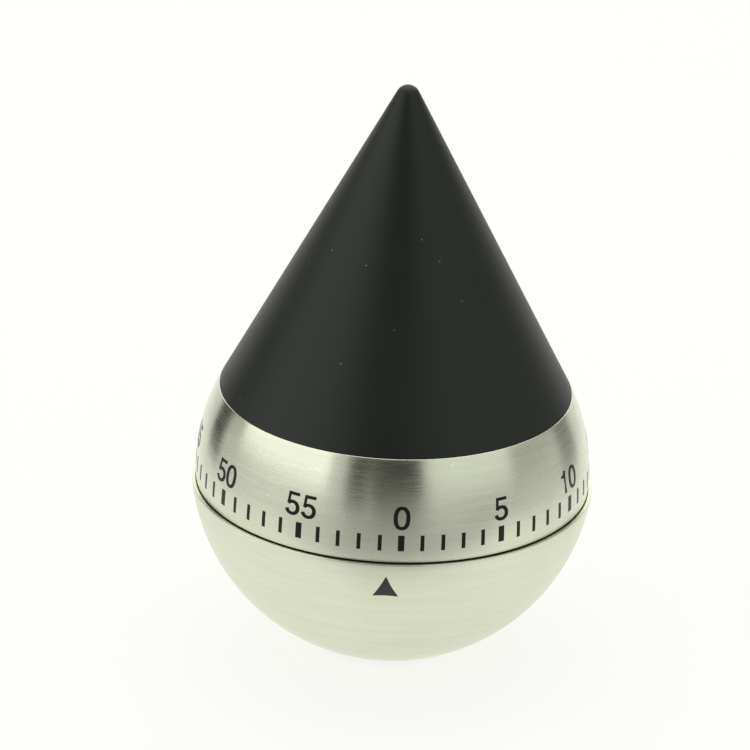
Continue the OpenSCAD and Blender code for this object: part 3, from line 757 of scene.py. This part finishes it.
@dataclass(frozen=True)
class LightTable(Finish):
    """Opal sheet lit from below: pale, hardly mottled, with next to no shadow, open from beneath."""

    glow: float = 0.86
    light: Colour = (1.0, 1.0, 0.965)
    mottle: float = 9.0

    def draw(self, d: Draft) -> None:
        """Draw the mottle and the glow, and leave the underside clear.

        Args:
            d: the material being drawn.
        """
        mottle = d.noise(d.place(), self.mottle)
        tone = self.tones(d, d.share(mottle, *NOISE_SPAN), 0.97, 1.0)
        d.shade(base_color=tone, roughness=self.gloss(d, mottle, *NOISE_SPAN, 0.03, 0.03))
        d.shade(emission_color=self.light, emission_strength=self.glow, specular_ior_level=0.0)
        below = d.node("ShaderNodeNewGeometry").outputs["Backfacing"]
        clear = d.node("ShaderNodeBsdfTransparent").outputs["BSDF"]
        sides = d.node("ShaderNodeMixShader", {0: below, 1: d.shader.outputs["BSDF"], 2: clear})
        d.tree.links.new(sides.outputs["Shader"], d.output.inputs["Surface"])


STEEL_TONE: Colour = (0.715, 0.745, 0.59)
RING_STEEL = TurnedSteel("ring_steel", STEEL_TONE, 0.25)
BOWL_STEEL = TurnedSteel("bowl_steel", scaled(STEEL_TONE, 1.04), 0.3, lines=7.0, streak=3.0, scratched=0.6)
CONE_BLACK = MattBlack(
    "cone_black", (0.0075, 0.0092, 0.0078), 0.47,
    dust=330.0, clean=0.35, specular=0.36, sheen_tint=(0.94, 1.0, 0.93),
)
INNER_BLACK = MattBlack("moulding_black", (0.02, 0.02, 0.02), 0.5, grain=5000.0, dust=90.0, clean=0.9)
FOOT_RUBBER = Mottled("foot_rubber", (0.012, 0.012, 0.012), 0.72)
DIAL_INK = Mottled(
    "dial_ink", (0.005, 0.006, 0.0046), 0.3,
    patch=1500.0, pebble=3000.0, depth=0.002 * MM, specular=0.22,
)
POINTER_INK = Mottled(
    "pointer_ink", (0.016, 0.018, 0.015), 0.36,
    patch=1500.0, pebble=3000.0, depth=0.002 * MM, specular=0.35,
)
BRASS = WorkedMetal(
    "stamped_brass", (0.72, 0.50, 0.20), 0.30,
    stretch=(350.0, 500.0, 350.0), tarnish=(0.34, 0.22, 0.09), tarnish_share=0.4,
)
ZINC = WorkedMetal(
    "zinc_plate", (0.52, 0.53, 0.50), 0.38,
    stretch=(300.0, 900.0, 300.0), tarnish=(0.32, 0.33, 0.30), tarnish_share=0.5,
)
BRIGHT_STEEL = WorkedMetal(
    "turned_arbor_steel", (0.56, 0.57, 0.57), 0.24,
    stretch=(200.0, 200.0, 2500.0), tarnish=(0.3, 0.29, 0.27), tarnish_share=0.25,
)
BLUED_STEEL = WorkedMetal(
    "blued_spring_steel", (0.10, 0.13, 0.22), 0.30,
    stretch=(250.0, 250.0, 1500.0), tarnish=(0.22, 0.16, 0.12), tarnish_share=0.4,
)
SCREW_STEEL = WorkedMetal(
    "screw_steel", (0.48, 0.48, 0.44), 0.34,
    stretch=(900.0, 900.0, 900.0), tarnish=(0.3, 0.28, 0.2),
)
BELL_NICKEL = WorkedMetal(
    "bell_nickel", (0.66, 0.65, 0.61), 0.16,
    stretch=(120.0, 120.0, 2200.0), tarnish=(0.45, 0.42, 0.36), tarnish_share=0.3,
)
OPAL_TABLE = LightTable("opal_table", (0.13, 0.132, 0.127), 0.6)


def dress(obj: bpy.types.Object, material: bpy.types.Material) -> None:
    """Give a piece one material."""
    obj.data.materials.clear()
    obj.data.materials.append(material)


def place(obj: bpy.types.Object, body: Body, slot: str, replaced: Sequence[str] = ()) -> bpy.types.Object:
    """Fix a finished piece in the frame.

    Args:
        obj: the piece.
        body: what it rides on.
        slot: the record's material slot of the piece; not used.
        replaced: CAD nodes that it stands for.

    Returns:
        The piece.
    """
    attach(obj, body.value)
    if replaced:
        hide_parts(*replaced)
    return obj


# ---------------------------------------------------------------- case


@dataclass
class ConeCap:
    """The black cone that the cook turns."""

    shape: CaseShape
    tip: float = 1.8 * MM
    wall: float = 2.0 * MM
    edge: float = 0.06 * MM
    spigot_wall: float = 0.75
    hollow_tip: float = 0.6
    tip_steps: int = 12
    side_steps: int = 24
    segments: int = 256

    def build(self) -> list[bpy.types.Object]:
        """Turn the cone's outside, its hollow and its spigot.

        Returns:
            The piece made.
        """
        s = self.shape
        centre = s.height - self.tip
        run = math.hypot(s.cone_foot, centre - s.ring_top)
        slope = math.atan2(s.cone_foot, centre - s.ring_top) - math.asin(self.tip / run)
        tip_arc = [
            (self.tip * math.cos(a), centre + self.tip * math.sin(a))
            for a in np.linspace(slope, math.pi / 2, self.tip_steps)[:-1]
        ]
        side = [
            (s.cone_foot - t * (s.cone_foot - tip_arc[0][0]), s.ring_top + t * (tip_arc[0][1] - s.ring_top))
            for t in np.linspace(0, 1, self.side_steps)[1:-1]
        ]
        inner_foot = s.spigot_radius - self.spigot_wall * self.wall
        hollow_top = centre + (self.tip - self.wall) / math.sin(slope)
        hollow = [(r, hollow_top - r / math.tan(slope)) for r in (self.hollow_tip * self.wall, inner_foot)]
        inner = [(0.0, hollow[0][1]), *hollow, (inner_foot, s.spigot_low)]
        spigot = [(s.spigot_radius, s.spigot_low), (s.spigot_radius, s.ring_top)]
        foot = (s.cone_foot, s.ring_top, self.edge)
        corners = [*plain(inner + spigot), foot, *plain(side + tip_arc + [(0.0, s.height)])]
        obj = revolve("cone_shell", rounded(corners), self.segments, CONE_BLACK.build())
        return [place(obj, Body.DIAL, "black_moulding", ["cone_cap"])]


@dataclass
class DialRing:
    """The graduated steel ring under the cone."""

    shape: CaseShape
    lip: float = 0.1 * MM
    top_lip: float = 0.16 * MM
    step: float = math.radians(1.6)
    segments: int = 300

    def build(self) -> list[bpy.types.Object]:
        """Turn the ring with a bright rounded lip at both edges.

        Returns:
            The piece made.
        """
        s = self.shape
        inside = Sphere(s.ring.radius - s.steel, s.ring.height)
        outer = s.ring.arc(s.ring_low, s.ring_top, self.step)
        inner = inside.arc(s.ring_low, s.ring_top - s.steel, self.step)
        corners = (
            [(*outer[0], self.lip)]
            + plain(outer[1:-1])
            + [(*outer[-1], self.top_lip)]
            + [(s.flange_radius, s.ring_top, self.lip), (s.flange_radius, s.ring_top - s.steel, self.lip)]
            + plain(reversed(inner[1:]))
            + [(*inner[0], self.lip)]
        )
        obj = revolve("ring_shell", rounded(corners), self.segments, RING_STEEL.build())
        return [place(obj, Body.DIAL, "steel", ["dial_ring"])]


@dataclass
class BowlShell:
    """The drawn steel bowl."""

    shape: CaseShape
    lip: float = 0.14 * MM
    step: float = math.radians(1.8)
    segments: int = 300

    def build(self) -> list[bpy.types.Object]:
        """Turn the bowl with its rolled top edge and turned-in foot flange.

        Returns:
            The piece made.
        """
        s = self.shape
        inside = Sphere(s.ball.radius - s.steel, s.ball.height)
        outer = s.ball.arc(s.foot_edge, s.bowl_top, self.step)
        inner = inside.arc(s.floor_top, s.bowl_top, self.step)
        flange = rim("bowl_shell", s.foot_edge)[0]
        corners = (
            [(*outer[0], self.lip)]
            + plain(outer[1:-1])
            + [(*outer[-1], self.lip), (*inner[-1], self.lip)]
            + plain(reversed(inner[:-1]))
            + plain([(flange, s.floor_top), (flange, s.foot_edge)])
        )
        obj = revolve("bowl_skin", rounded(corners), self.segments, BOWL_STEEL.build())
        return [place(obj, Body.BASE, "steel", ["bowl_shell"])]


@dataclass
class RubberSole:
    """The ribbed rubber sole that the timer stands on."""

    shape: CaseShape
    edge: float = 0.12 * MM
    ribs: int = 5
    groove_depth: float = 0.16 * MM
    first_groove: float = 0.7
    groove: tuple[float, ...] = (0.0, 0.12, 0.3, 0.42)
    ribbed_share: float = 0.86
    corner_steps: int = 3
    segments: int = 160

    def build(self) -> list[bpy.types.Object]:
        """Turn the sole with shallow concentric grooves between its ribs.

        Returns:
            The piece made.
        """
        s = self.shape
        corners: list[Corner] = [(0.0, 0.0, 0.0)]
        pitch = self.ribbed_share * s.pad_radius / self.ribs
        depths = (0.0, self.groove_depth, self.groove_depth, 0.0)
        for i in range(self.ribs):
            start = pitch * (i + self.first_groove)
            corners += [(start + pitch * at, depth, self.edge / 2) for at, depth in zip(self.groove, depths)]
        corners += [(s.pad_radius, 0.0, self.edge), (s.pad_radius, s.pad_top, 0.0), (0.0, s.pad_top, 0.0)]
        outline = rounded(corners, self.corner_steps)
        sole = revolve("rubber_sole", outline, self.segments, FOOT_RUBBER.build())
        return [place(sole, Body.BASE, "rubber", ["foot_pad"])]


# ---------------------------------------------------------------- printed marks


def pen_stroke(path: Sequence[Point], heavy: float, light: float, closed: bool = False) -> list[list[Point]]:
    """Outline of a pen stroke that is heavy where it runs upright and light where it runs level.

    Args:
        path: the stroke's middle line.
        heavy: width of an upright stroke.
        light: width of a level stroke.
        closed: whether the path is a loop.

    Returns:
        The stroke as a chain of four-sided outlines.
    """
    points = [Vector(p) for p in path]
    count = len(points)
    left: list[Vector] = []
    right: list[Vector] = []
    for i, p in enumerate(points):
        before = points[i - 1] if i or closed else p
        after = points[(i + 1) % count] if i + 1 < count or closed else p
        along = (after - before).normalized()
        across = Vector((-along.y, along.x))
        width = light + (heavy - light) * abs(along.y)
        left.append(p + across * width / 2)
        right.append(p - across * width / 2)
    quads = []
    for i in range(count if closed else count - 1):
        j = (i + 1) % count
        quads.append([tuple(left[i]), tuple(right[i]), tuple(right[j]), tuple(left[j])])
    return quads


def bow(
    centre: Point,
    rx: float,
    ry: float,
    start: float,
    end: float,
    steps: int,
    power: float = 2.0,
) -> list[Point]:
    """Points on a round or squarish bow.

    Args:
        centre: its centre.
        rx: half its width.
        ry: half its height.
        start: first angle in degrees, anticlockwise from the right.
        end: last angle in degrees.
        steps: how many chords.
        power: 2 for an ellipse, more for squarer shoulders.

    Returns:
        The points.
    """
    out = []
    for i in range(steps + 1):
        a = math.radians(start + (end - start) * i / steps)
        c, s = math.cos(a), math.sin(a)
        x = rx * math.copysign(abs(c) ** (2 / power), c)
        y = ry * math.copysign(abs(s) ** (2 / power), s)
        out.append((centre[0] + x, centre[1] + y))
    return out


@dataclass(frozen=True)
class Numerals:
    """Plain upright numerals, drawn with pen strokes in a box of their height."""

    height: float = 3.46 * MM
    width: float = 2.41 * MM
    advance: float = 2.62 * MM
    heavy: float = 0.6 * MM
    light: float = 0.48 * MM
    oval: float = 2.35
    curl: float = 2.1

    def digit(self, figure: str) -> list[list[Point]]:
        """Strokes of one figure, with its lower left corner at the origin.

        Args:
            figure: one of 0 to 5.

        Returns:
            The outlines that make it up.
        """
        w, h, heavy, light = self.width, self.height, self.heavy, self.light
        cx = w / 2
        left, right = heavy / 2, w - heavy / 2
        low, high = light / 2, h - light / 2
        if figure == "0":
            ring = bow((cx, h / 2), cx - heavy / 2, h / 2 - light / 2, 0, 360, 40, self.oval)[:-1]
            return pen_stroke(ring, heavy, light, True)
        if figure == "1":
            stem = 0.60 * w
            flag = [
                (stem - heavy / 2 + 0.02 * w, 0.72 * h),
                (0.20 * w, 0.72 * h),
                (0.20 * w, 0.81 * h),
                (0.34 * w, 0.83 * h),
                (0.44 * w, 0.88 * h),
                (0.50 * w, h),
                (stem, h),
            ]
            return [box(stem - heavy / 2, stem + heavy / 2, 0, h), flag]
        if figure == "2":
            top = bow((cx, 0.70 * h), cx - heavy / 2, 0.30 * h - light / 2, 172, -38, 20, self.curl)
            tail = [(0.60 * w, 0.37 * h), (0.36 * w, 0.235 * h), (0.20 * w, 0.10 * h), (0.165 * w, low)]
            return pen_stroke(top + tail, heavy, light) + [box(0.04 * w, w, 0, light)]
        if figure == "3":
            upper_half, lower_half = 0.265 * h - light / 2, 0.28 * h - light / 2
            upper = bow((0.48 * w, 0.735 * h), 0.40 * w - heavy / 3, upper_half, 165, -90, 18, self.curl)
            lower = bow((0.49 * w, 0.28 * h), 0.50 * w - heavy / 2, lower_half, 90, -168, 22, self.curl)
            return pen_stroke(upper, heavy, light) + pen_stroke(lower, heavy, light) + [
                box(0.36 * w, 0.56 * w, 0.28 * h + 0.28 * h - light, 0.28 * h + 0.28 * h)
            ]
        if figure == "4":
            bar, stem = 0.285 * h, 0.74 * w
            slant = [
                (stem - heavy / 2, h),
                (0.0, bar),
                (0.0, bar - 0.02 * h),
                (0.20 * w, bar),
                (stem - heavy / 2 + 0.01 * w, 0.80 * h),
            ]
            return [
                box(stem - heavy / 2, stem + heavy / 2, 0, h),
                box(0, w, bar - light, bar),
                slant,
            ]
        cup = bow((cx, 0.325 * h), cx - heavy / 2, 0.325 * h - light / 2, 142, -165, 26, self.curl)
        spine = [(0.14 * w, 0.47 * h), (0.32 * w, 0.47 * h), (0.36 * w, h - light), (0.20 * w, h)]
        return pen_stroke(cup, heavy, light) + [box(0.20 * w, 0.93 * w, h - light, h), spine]

    def word(self, text: str) -> list[list[Point]]:
        """Strokes of a number, centred on the origin's height line.

        Args:
            text: the number.

        Returns:
            The outlines that make it up.
        """
        start = -(self.advance * len(text)) / 2 + (self.advance - self.width) / 2
        out = []
        for i, figure in enumerate(text):
            shift = start + i * self.advance
            out += [[(x + shift, y) for x, y in quad] for quad in self.digit(figure)]
        return out


def box(x0: float, x1: float, y0: float, y1: float) -> list[Point]:
    """Corners of an upright rectangle."""
    return [(x0, y0), (x1, y0), (x1, y1), (x0, y1)]


def film(outlines: Sequence[Sequence[Point]], pitch: float = 0.4 * MM) -> tuple[list[Point], list[Face]]:
    """Cut outlines into small flat triangles, so that the print can follow a curved skin.

    Args:
        outlines: the shapes, which may lap over each other.
        pitch: distance between the points inside them.

    Returns:
        Points and triangles.
    """
    verts: list[Vector] = []
    faces: list[list[int]] = []
    for shape in outlines:
        area = sum(a[0] * b[1] - b[0] * a[1] for a, b in zip(shape, [*shape[1:], shape[0]]))
        ordered = shape if area > 0 else list(reversed(shape))
        faces.append(list(range(len(verts), len(verts) + len(ordered))))
        verts += [Vector(p) for p in ordered]
    span = np.array([tuple(v) for v in verts])
    low, high = span.min(0), span.max(0)
    for x in np.arange(low[0] + pitch / 2, high[0], pitch):
        for y in np.arange(low[1] + pitch / 2, high[1], pitch):
            verts.append(Vector((float(x), float(y))))
    scale = 1 / MM
    points, _, cut, _, _, owners = delaunay_2d_cdt([v * scale for v in verts], [], faces, 0, FILM_WELD)
    tris = [t for t, owner in zip(cut, owners) if owner]
    used = sorted({i for t in tris for i in t})
    number = {old: new for new, old in enumerate(used)}
    flat = [(points[i].x / scale, points[i].y / scale) for i in used]
    return flat, [tuple(number[i] for i in t) for t in tris]


@dataclass
class Print:
    """Ink that lies on the skin of the case as a thin closed film."""

    shape: CaseShape
    thick: float = 0.022 * MM
    sunk: float = 0.02 * MM

    def raised(
        self,
        flat: Sequence[Point],
        cells: Sequence[Face],
        to_skin: Lay,
    ) -> tuple[list[Vector], list[Face]]:
        """Lay a flat film on a skin and give it a body.

        Args:
            flat: the film's points.
            cells: its faces.
            to_skin: gives the place of a point (x, y) at a height above the skin.

        Returns:
            Points and faces of a closed solid.
        """
        count = len(flat)
        verts = [to_skin(x, y, lift) for lift in (self.thick, -self.sunk) for x, y in flat]
        faces: list[Face] = [*cells, *(tuple(i + count for i in reversed(c)) for c in cells)]
        edges = {edge: None for c in cells for edge in zip(c, [*c[1:], c[0]])}
        faces += [(a, a + count, b + count, b) for a, b in edges if (b, a) not in edges]
        return verts, faces


@dataclass
class DialMarks(Print):
    """Graduation lines and numerals printed on the ring."""

    zero: float = math.radians(3.82)
    tick_low: float = 0.2 * MM
    tick_high: float = 2.6 * MM
    minor: float = 0.57 * MM
    major: float = 0.93 * MM
    gap: float = 0.85 * MM
    count: int = 60
    every: int = 5
    columns: int = 3
    rows: int = 5
    figures: Numerals = field(default_factory=Numerals)

    def tick(self, name: str, width: float) -> bpy.types.Object:
        """One graduation line at the front, as the pattern for all of them.

        Args:
            name: name of the pattern.
            width: width of the line.

        Returns:
            The pattern.
        """
        across = self.columns
        xs = np.linspace(-width / 2, width / 2, across)
        ys = np.linspace(self.tick_low, self.tick_high, self.rows)
        flat = [(float(x), float(y)) for y in ys for x in xs]
        starts = [j * across + i for j in range(self.rows - 1) for i in range(across - 1)]
        cells = [(a, a + 1, a + 1 + across, a + across) for a in starts]
        return solid(name, *self.raised(flat, cells, self.shape.ring.wrap()))

    def graduation(self) -> Recipe:
        """Recipe that repeats a fine and a bold line round the axis.

        Returns:
            The recipe, with its lines, counts and start as named inputs.
        """
        inputs = {
            "Fine line": "Object",
            "Bold line": "Object",
            "Count": "Int",
            "Bold every": "Int",
            "Start turn": "Float",
            "Ink": "Material",
        }
        r = Recipe("graduation", inputs)
        count = r.given["Count"]
        points = r.node("GeometryNodePoints", {"Count": count}).outputs["Points"]
        index = r.node("GeometryNodeInputIndex").outputs[0]
        step = r.maths("DIVIDE", FULL_TURN, count)
        spin = r.vector(0.0, 0.0, r.maths("MULTIPLY_ADD", index, step, r.given["Start turn"]))
        rest = r.maths("MODULO", index, r.given["Bold every"])
        is_fine = r.maths("GREATER_THAN", rest, 0.5)
        is_bold = r.maths("LESS_THAN", rest, 0.5)
        join = r.node("GeometryNodeJoinGeometry")
        for line, chosen in (("Fine line", is_fine), ("Bold line", is_bold)):
            shape = r.node("GeometryNodeObjectInfo", {"Object": r.given[line]}).outputs["Geometry"]
            feeds = {"Points": points, "Selection": chosen, "Instance": shape, "Rotation": spin}
            spread = r.node("GeometryNodeInstanceOnPoints", feeds)
            r.tree.links.new(spread.outputs["Instances"], join.inputs["Geometry"])
        r.close(join.outputs["Geometry"], r.given["Ink"])
        return r

    def lines(self, ink: bpy.types.Material) -> bpy.types.Object:
        """All graduation lines as one plain mesh.

        Args:
            ink: the print's material.

        Returns:
            The piece.
        """
        fine = self.tick("fine_line", self.minor)
        bold = self.tick("bold_line", self.major)
        values = {
            "Fine line": fine,
            "Bold line": bold,
            "Count": self.count,
            "Bold every": self.every,
            "Start turn": self.zero,
            "Ink": ink,
        }
        return self.graduation().make("graduation_lines", values, [fine, bold])

    def numbers(self, ink: bpy.types.Material) -> bpy.types.Object:
        """All numerals as one mesh.

        Args:
            ink: the print's material.

        Returns:
            The piece.
        """
        verts: list[Vector] = []
        faces: list[Face] = []
        base = self.tick_high + self.gap
        for minute in range(0, self.count, self.every):
            turn = self.zero + FULL_TURN * minute / self.count
            shapes = [[(x, y + base) for x, y in quad] for quad in self.figures.word(str(minute))]
            flat, tris = film(shapes)
            some, more = self.raised(flat, tris, self.shape.ring.wrap(turn))
            faces += [tuple(i + len(verts) for i in f) for f in more]
            verts += some
        obj = solid("dial_numbers", verts, faces)
        dress(obj, ink)
        return obj

    def build(self) -> list[bpy.types.Object]:
        """Print lines and numerals on the ring, and give the pieces made."""
        ink = DIAL_INK.build()
        return [place(piece, Body.DIAL, "steel") for piece in (self.lines(ink), self.numbers(ink))]


@dataclass
class Pointer(Print):
    """The triangle printed on the bowl that the dial is read against."""

    top: float = -5.12 * MM
    low: float = -8.62 * MM
    half: float = 1.83 * MM

    def build(self) -> list[bpy.types.Object]:
        """Print the triangle.

        Returns:
            The piece made.
        """
        ball = self.shape.ball
        high = ball.radius * math.asin(self.top / ball.radius)
        low = ball.radius * math.asin(self.low / ball.radius)
        flat, tris = film([[(-self.half, low), (self.half, low), (0.0, high)]])
        obj = solid("pointer_mark", *self.raised(flat, tris, ball.wrap()))
        dress(obj, POINTER_INK.build())
        return [place(obj, Body.BASE, "steel")]


# ---------------------------------------------------------------- movement


@dataclass
class Movement:
    """Everything that stays as the CAD made it: it gets its finishes here."""

    finishes: ClassVar[dict[str, Finish]] = {
        "steel": RING_STEEL,
        "black_moulding": INNER_BLACK,
        "inner_moulding": INNER_BLACK,
        "rubber": FOOT_RUBBER,
        "zinc_plate": ZINC,
        "brass": BRASS,
        "bell_steel": BELL_NICKEL,
        "bright_steel": BRIGHT_STEEL,
        "spring_steel": BLUED_STEEL,
        "screw_steel": SCREW_STEEL,
    }

    def dress_nodes(self) -> int:
        """Give each carried-over node the finish of its material slot.

        Returns:
            How many nodes were dressed.
        """
        made: dict[str, bpy.types.Material] = {}
        slots = {s["node"]: s["material_slot"] for s in frame["record"]["subparts"]}
        for node, obj in frame["nodes"].items():
            finish = self.finishes[slots[node]]
            if finish.name not in made:
                made[finish.name] = finish.build()
            for i in range(len(obj.material_slots)):
                obj.material_slots[i].material = made[finish.name]
            if not obj.material_slots:
                obj.data.materials.append(made[finish.name])
        return len(slots)


# ---------------------------------------------------------------- studio


@dataclass(frozen=True)
class Panel:
    """A rectangle that stands round the timer and faces it."""

    name: str
    azimuth: float
    elevation: float
    distance: float
    width: float
    height: float
    light: float

    def middle(self, target: Vector) -> Vector:
        """Where it stands, from what it faces."""
        return target + around(self.azimuth, self.elevation) * self.distance


@dataclass(frozen=True)
class SoftBox(Panel):
    """A soft light, seen by shiny surfaces but not by the camera."""

    def build(self, target: Vector) -> None:
        """Hang the light.

        Args:
            target: what it is aimed at.
        """
        data = bpy.data.lights.new(self.name, "AREA")
        data.shape = "RECTANGLE"
        data.size = self.width
        data.size_y = self.height
        data.energy = self.light * math.pi * self.width * self.height
        obj = add_object(self.name, data)
        obj.location = self.middle(target)
        obj.rotation_euler = (target - obj.location).to_track_quat("-Z", "Y").to_euler()
        obj.visible_camera = False


def sheet(name: str, corners: Sequence[Vector]) -> bpy.types.Object:
    """One flat four-cornered face, which is part of the studio and not of the timer.

    Args:
        name: name of the face.
        corners: its corners in order.

    Returns:
        The face.
    """
    mesh = bpy.data.meshes.new(name)
    mesh.from_pydata([tuple(c) for c in corners], [], [(0, 1, 2, 3)])
    obj = add_object(name, mesh)
    return obj


def glossy_card(name: str, corners: Sequence[Vector], tone: float) -> None:
    """A card that only shiny surfaces see, to shade their reflections.

    Args:
        name: name of the card.
        corners: its four corners in order.
        tone: how light it looks.
    """
    obj = sheet(name, corners)
    draft = Draft(name)
    draft.shade(base_color=(0.0, 0.0, 0.0), roughness=1.0, emission_color=WHITE, emission_strength=tone)
    dress(obj, draft.material)
    obj.visible_camera = False
    obj.visible_diffuse = False
    obj.visible_shadow = False


@dataclass(frozen=True)
class Flag(Panel):
    """A card that only shiny surfaces see."""

    def build(self, target: Vector) -> None:
        """Stand the card up.

        Args:
            target: what it faces.
        """
        centre = self.middle(target)
        facing = Matrix.Translation(centre) @ (target - centre).to_track_quat("Z", "Y").to_matrix().to_4x4()
        w, h = self.width / 2, self.height / 2
        glossy_card(self.name, [facing @ Vector((x, y, 0)) for x, y in box(-w, w, -h, h)], self.light)


@dataclass(frozen=True)
class TableCard:
    """A card that lies on the table, between two corners given from the timer's middle."""

    name: str
    low: Point
    high: Point
    tone: float
    lift: float = 0.5 * MM

    def build(self, target: Vector) -> None:
        """Lay the card down.

        Args:
            target: the timer's middle, which gives the card its own.
        """
        (x0, y0), (x1, y1) = self.low, self.high
        corners = [Vector((target.x + x, target.y + y, self.lift)) for x, y in box(x0, x1, y0, y1)]
        glossy_card(self.name, corners, self.tone)


def around(azimuth: float, elevation: float) -> Vector:
    """Direction from the timer, azimuth in degrees from the front towards the right, elevation in degrees."""
    a, e = math.radians(azimuth), math.radians(elevation)
    return Vector((math.sin(a) * math.cos(e), -math.cos(a) * math.cos(e), math.sin(e)))


@dataclass
class Studio:
    """Pale worktop, soft light and the camera."""

    shape: CaseShape
    floor_half: float = 3.0
    floor_height: float = -0.02 * MM
    sky: Colour = (0.45, 0.46, 0.435)
    azimuth: float = 0.776
    elevation: float = 23.388
    roll: float = 2.292
    distance: float = 0.66594
    right: float = 2.646 * MM
    down: float = 12.495 * MM
    lens: float = 214.69
    sensor: float = 36.0
    clip: tuple[float, float] = (0.01, 50.0)
    boxes: tuple[SoftBox, ...] = (
        SoftBox("overhead", 180, 72, 0.62, 0.8, 0.6, 1.6),
        SoftBox("window_left", -66, 26, 1.0, 1.5, 0.8, 0.88),
        SoftBox("strip_right", 49, 27, 1.0, 1.0, 0.8, 0.42),
        SoftBox("backdrop", 180, 22, 1.4, 2.0, 0.9, 0.9),
    )
    cards: tuple[Flag | TableCard, ...] = (
        Flag("window_edge", -31.4, 22, 0.76, 0.145, 0.62, 0.64),
        Flag("camera_side_left", -19.4, 22, 0.75, 0.165, 0.62, 0.0),
        Flag("camera_side_right", 3.5, 22, 0.75, 0.38, 0.62, 0.0),
        Flag("left_corner", -118, 9, 0.14, 0.039, 0.11, 0.0),
        Flag("right_corner", 117, 9, 0.14, 0.045, 0.11, 0.2),
        TableCard("table_dim", (-0.12, -0.070), (0.12, -0.057), 0.74),
        TableCard("table_dark", (-0.045, -1.2), (0.045, -0.070), 0.37),
        TableCard("table_front_left", (-1.2, -1.2), (-0.045, -0.070), 0.52),
        TableCard("table_front_right", (0.045, -1.2), (1.2, -0.070), 0.45),
        TableCard("table_left", (-1.2, -0.070), (-0.12, 0.25), 0.52),
        TableCard("table_right", (0.12, -0.070), (1.2, 0.25), 0.56),
    )

    def floor(self) -> None:
        """Lay the worktop that the timer stands on."""
        h, z = self.floor_half, self.floor_height
        obj = sheet("worktop", [Vector((x, y, z)) for x, y in box(-h, h, -h, h)])
        dress(obj, OPAL_TABLE.build())

    def lights(self) -> None:
        """Set the sky, hang the soft boxes and stand the cards up."""
        world = bpy.data.worlds.new("studio")
        world.use_nodes = True
        world.node_tree.nodes["Background"].inputs["Color"].default_value = (*self.sky, 1.0)
        bpy.context.scene.world = world
        target = Vector((0, 0, self.shape.ball.height))
        for item in (*self.boxes, *self.cards):
            item.build(target)

    def camera(self) -> None:
        """Set up the camera."""
        data = bpy.data.cameras.new("camera")
        data.lens = self.lens
        data.sensor_width = self.sensor
        data.clip_start, data.clip_end = self.clip
        obj = add_object("camera", data)
        back = around(self.azimuth, self.elevation)
        level = around(self.azimuth + 90, 0)
        up = back.cross(level)
        roll = math.radians(self.roll)
        c, s = math.cos(roll), math.sin(roll)
        x_axis = level * c + up * s
        y_axis = up * c - level * s
        centre = Vector((0, 0, self.shape.ball.height))
        where = centre + back * self.distance - x_axis * self.right + y_axis * self.down
        obj.matrix_world = Matrix((
            (x_axis.x, y_axis.x, back.x, where.x),
            (x_axis.y, y_axis.y, back.y, where.y),
            (x_axis.z, y_axis.z, back.z, where.z),
            (0, 0, 0, 1),
        ))
        bpy.context.scene.camera = obj

    def build(self) -> None:
        """Set up the floor, the lights and the camera."""
        self.floor()
        self.lights()
        self.camera()
        view = bpy.context.scene.view_settings
        view.view_transform = "Standard"
        view.look = "None"


def main() -> None:
    """Build the timer's pieces in order, dress them and light the scene."""
    logging.basicConfig(level=logging.INFO, format="%(name)s: %(message)s")
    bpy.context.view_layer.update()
    shape = CaseShape.from_frame()
    log.info("ball radius %.2f mm", shape.ball.radius / MM)
    log.info("%d nodes dressed", Movement().dress_nodes())
    for part in (BowlShell, RubberSole, DialRing, ConeCap, DialMarks, Pointer):
        for piece in part(shape).build():
            log.info("%s: %d faces", piece.name, len(piece.data.polygons))
    Studio(shape).build()
    log.info("studio lit")


if __name__ == "__main__":
    main()
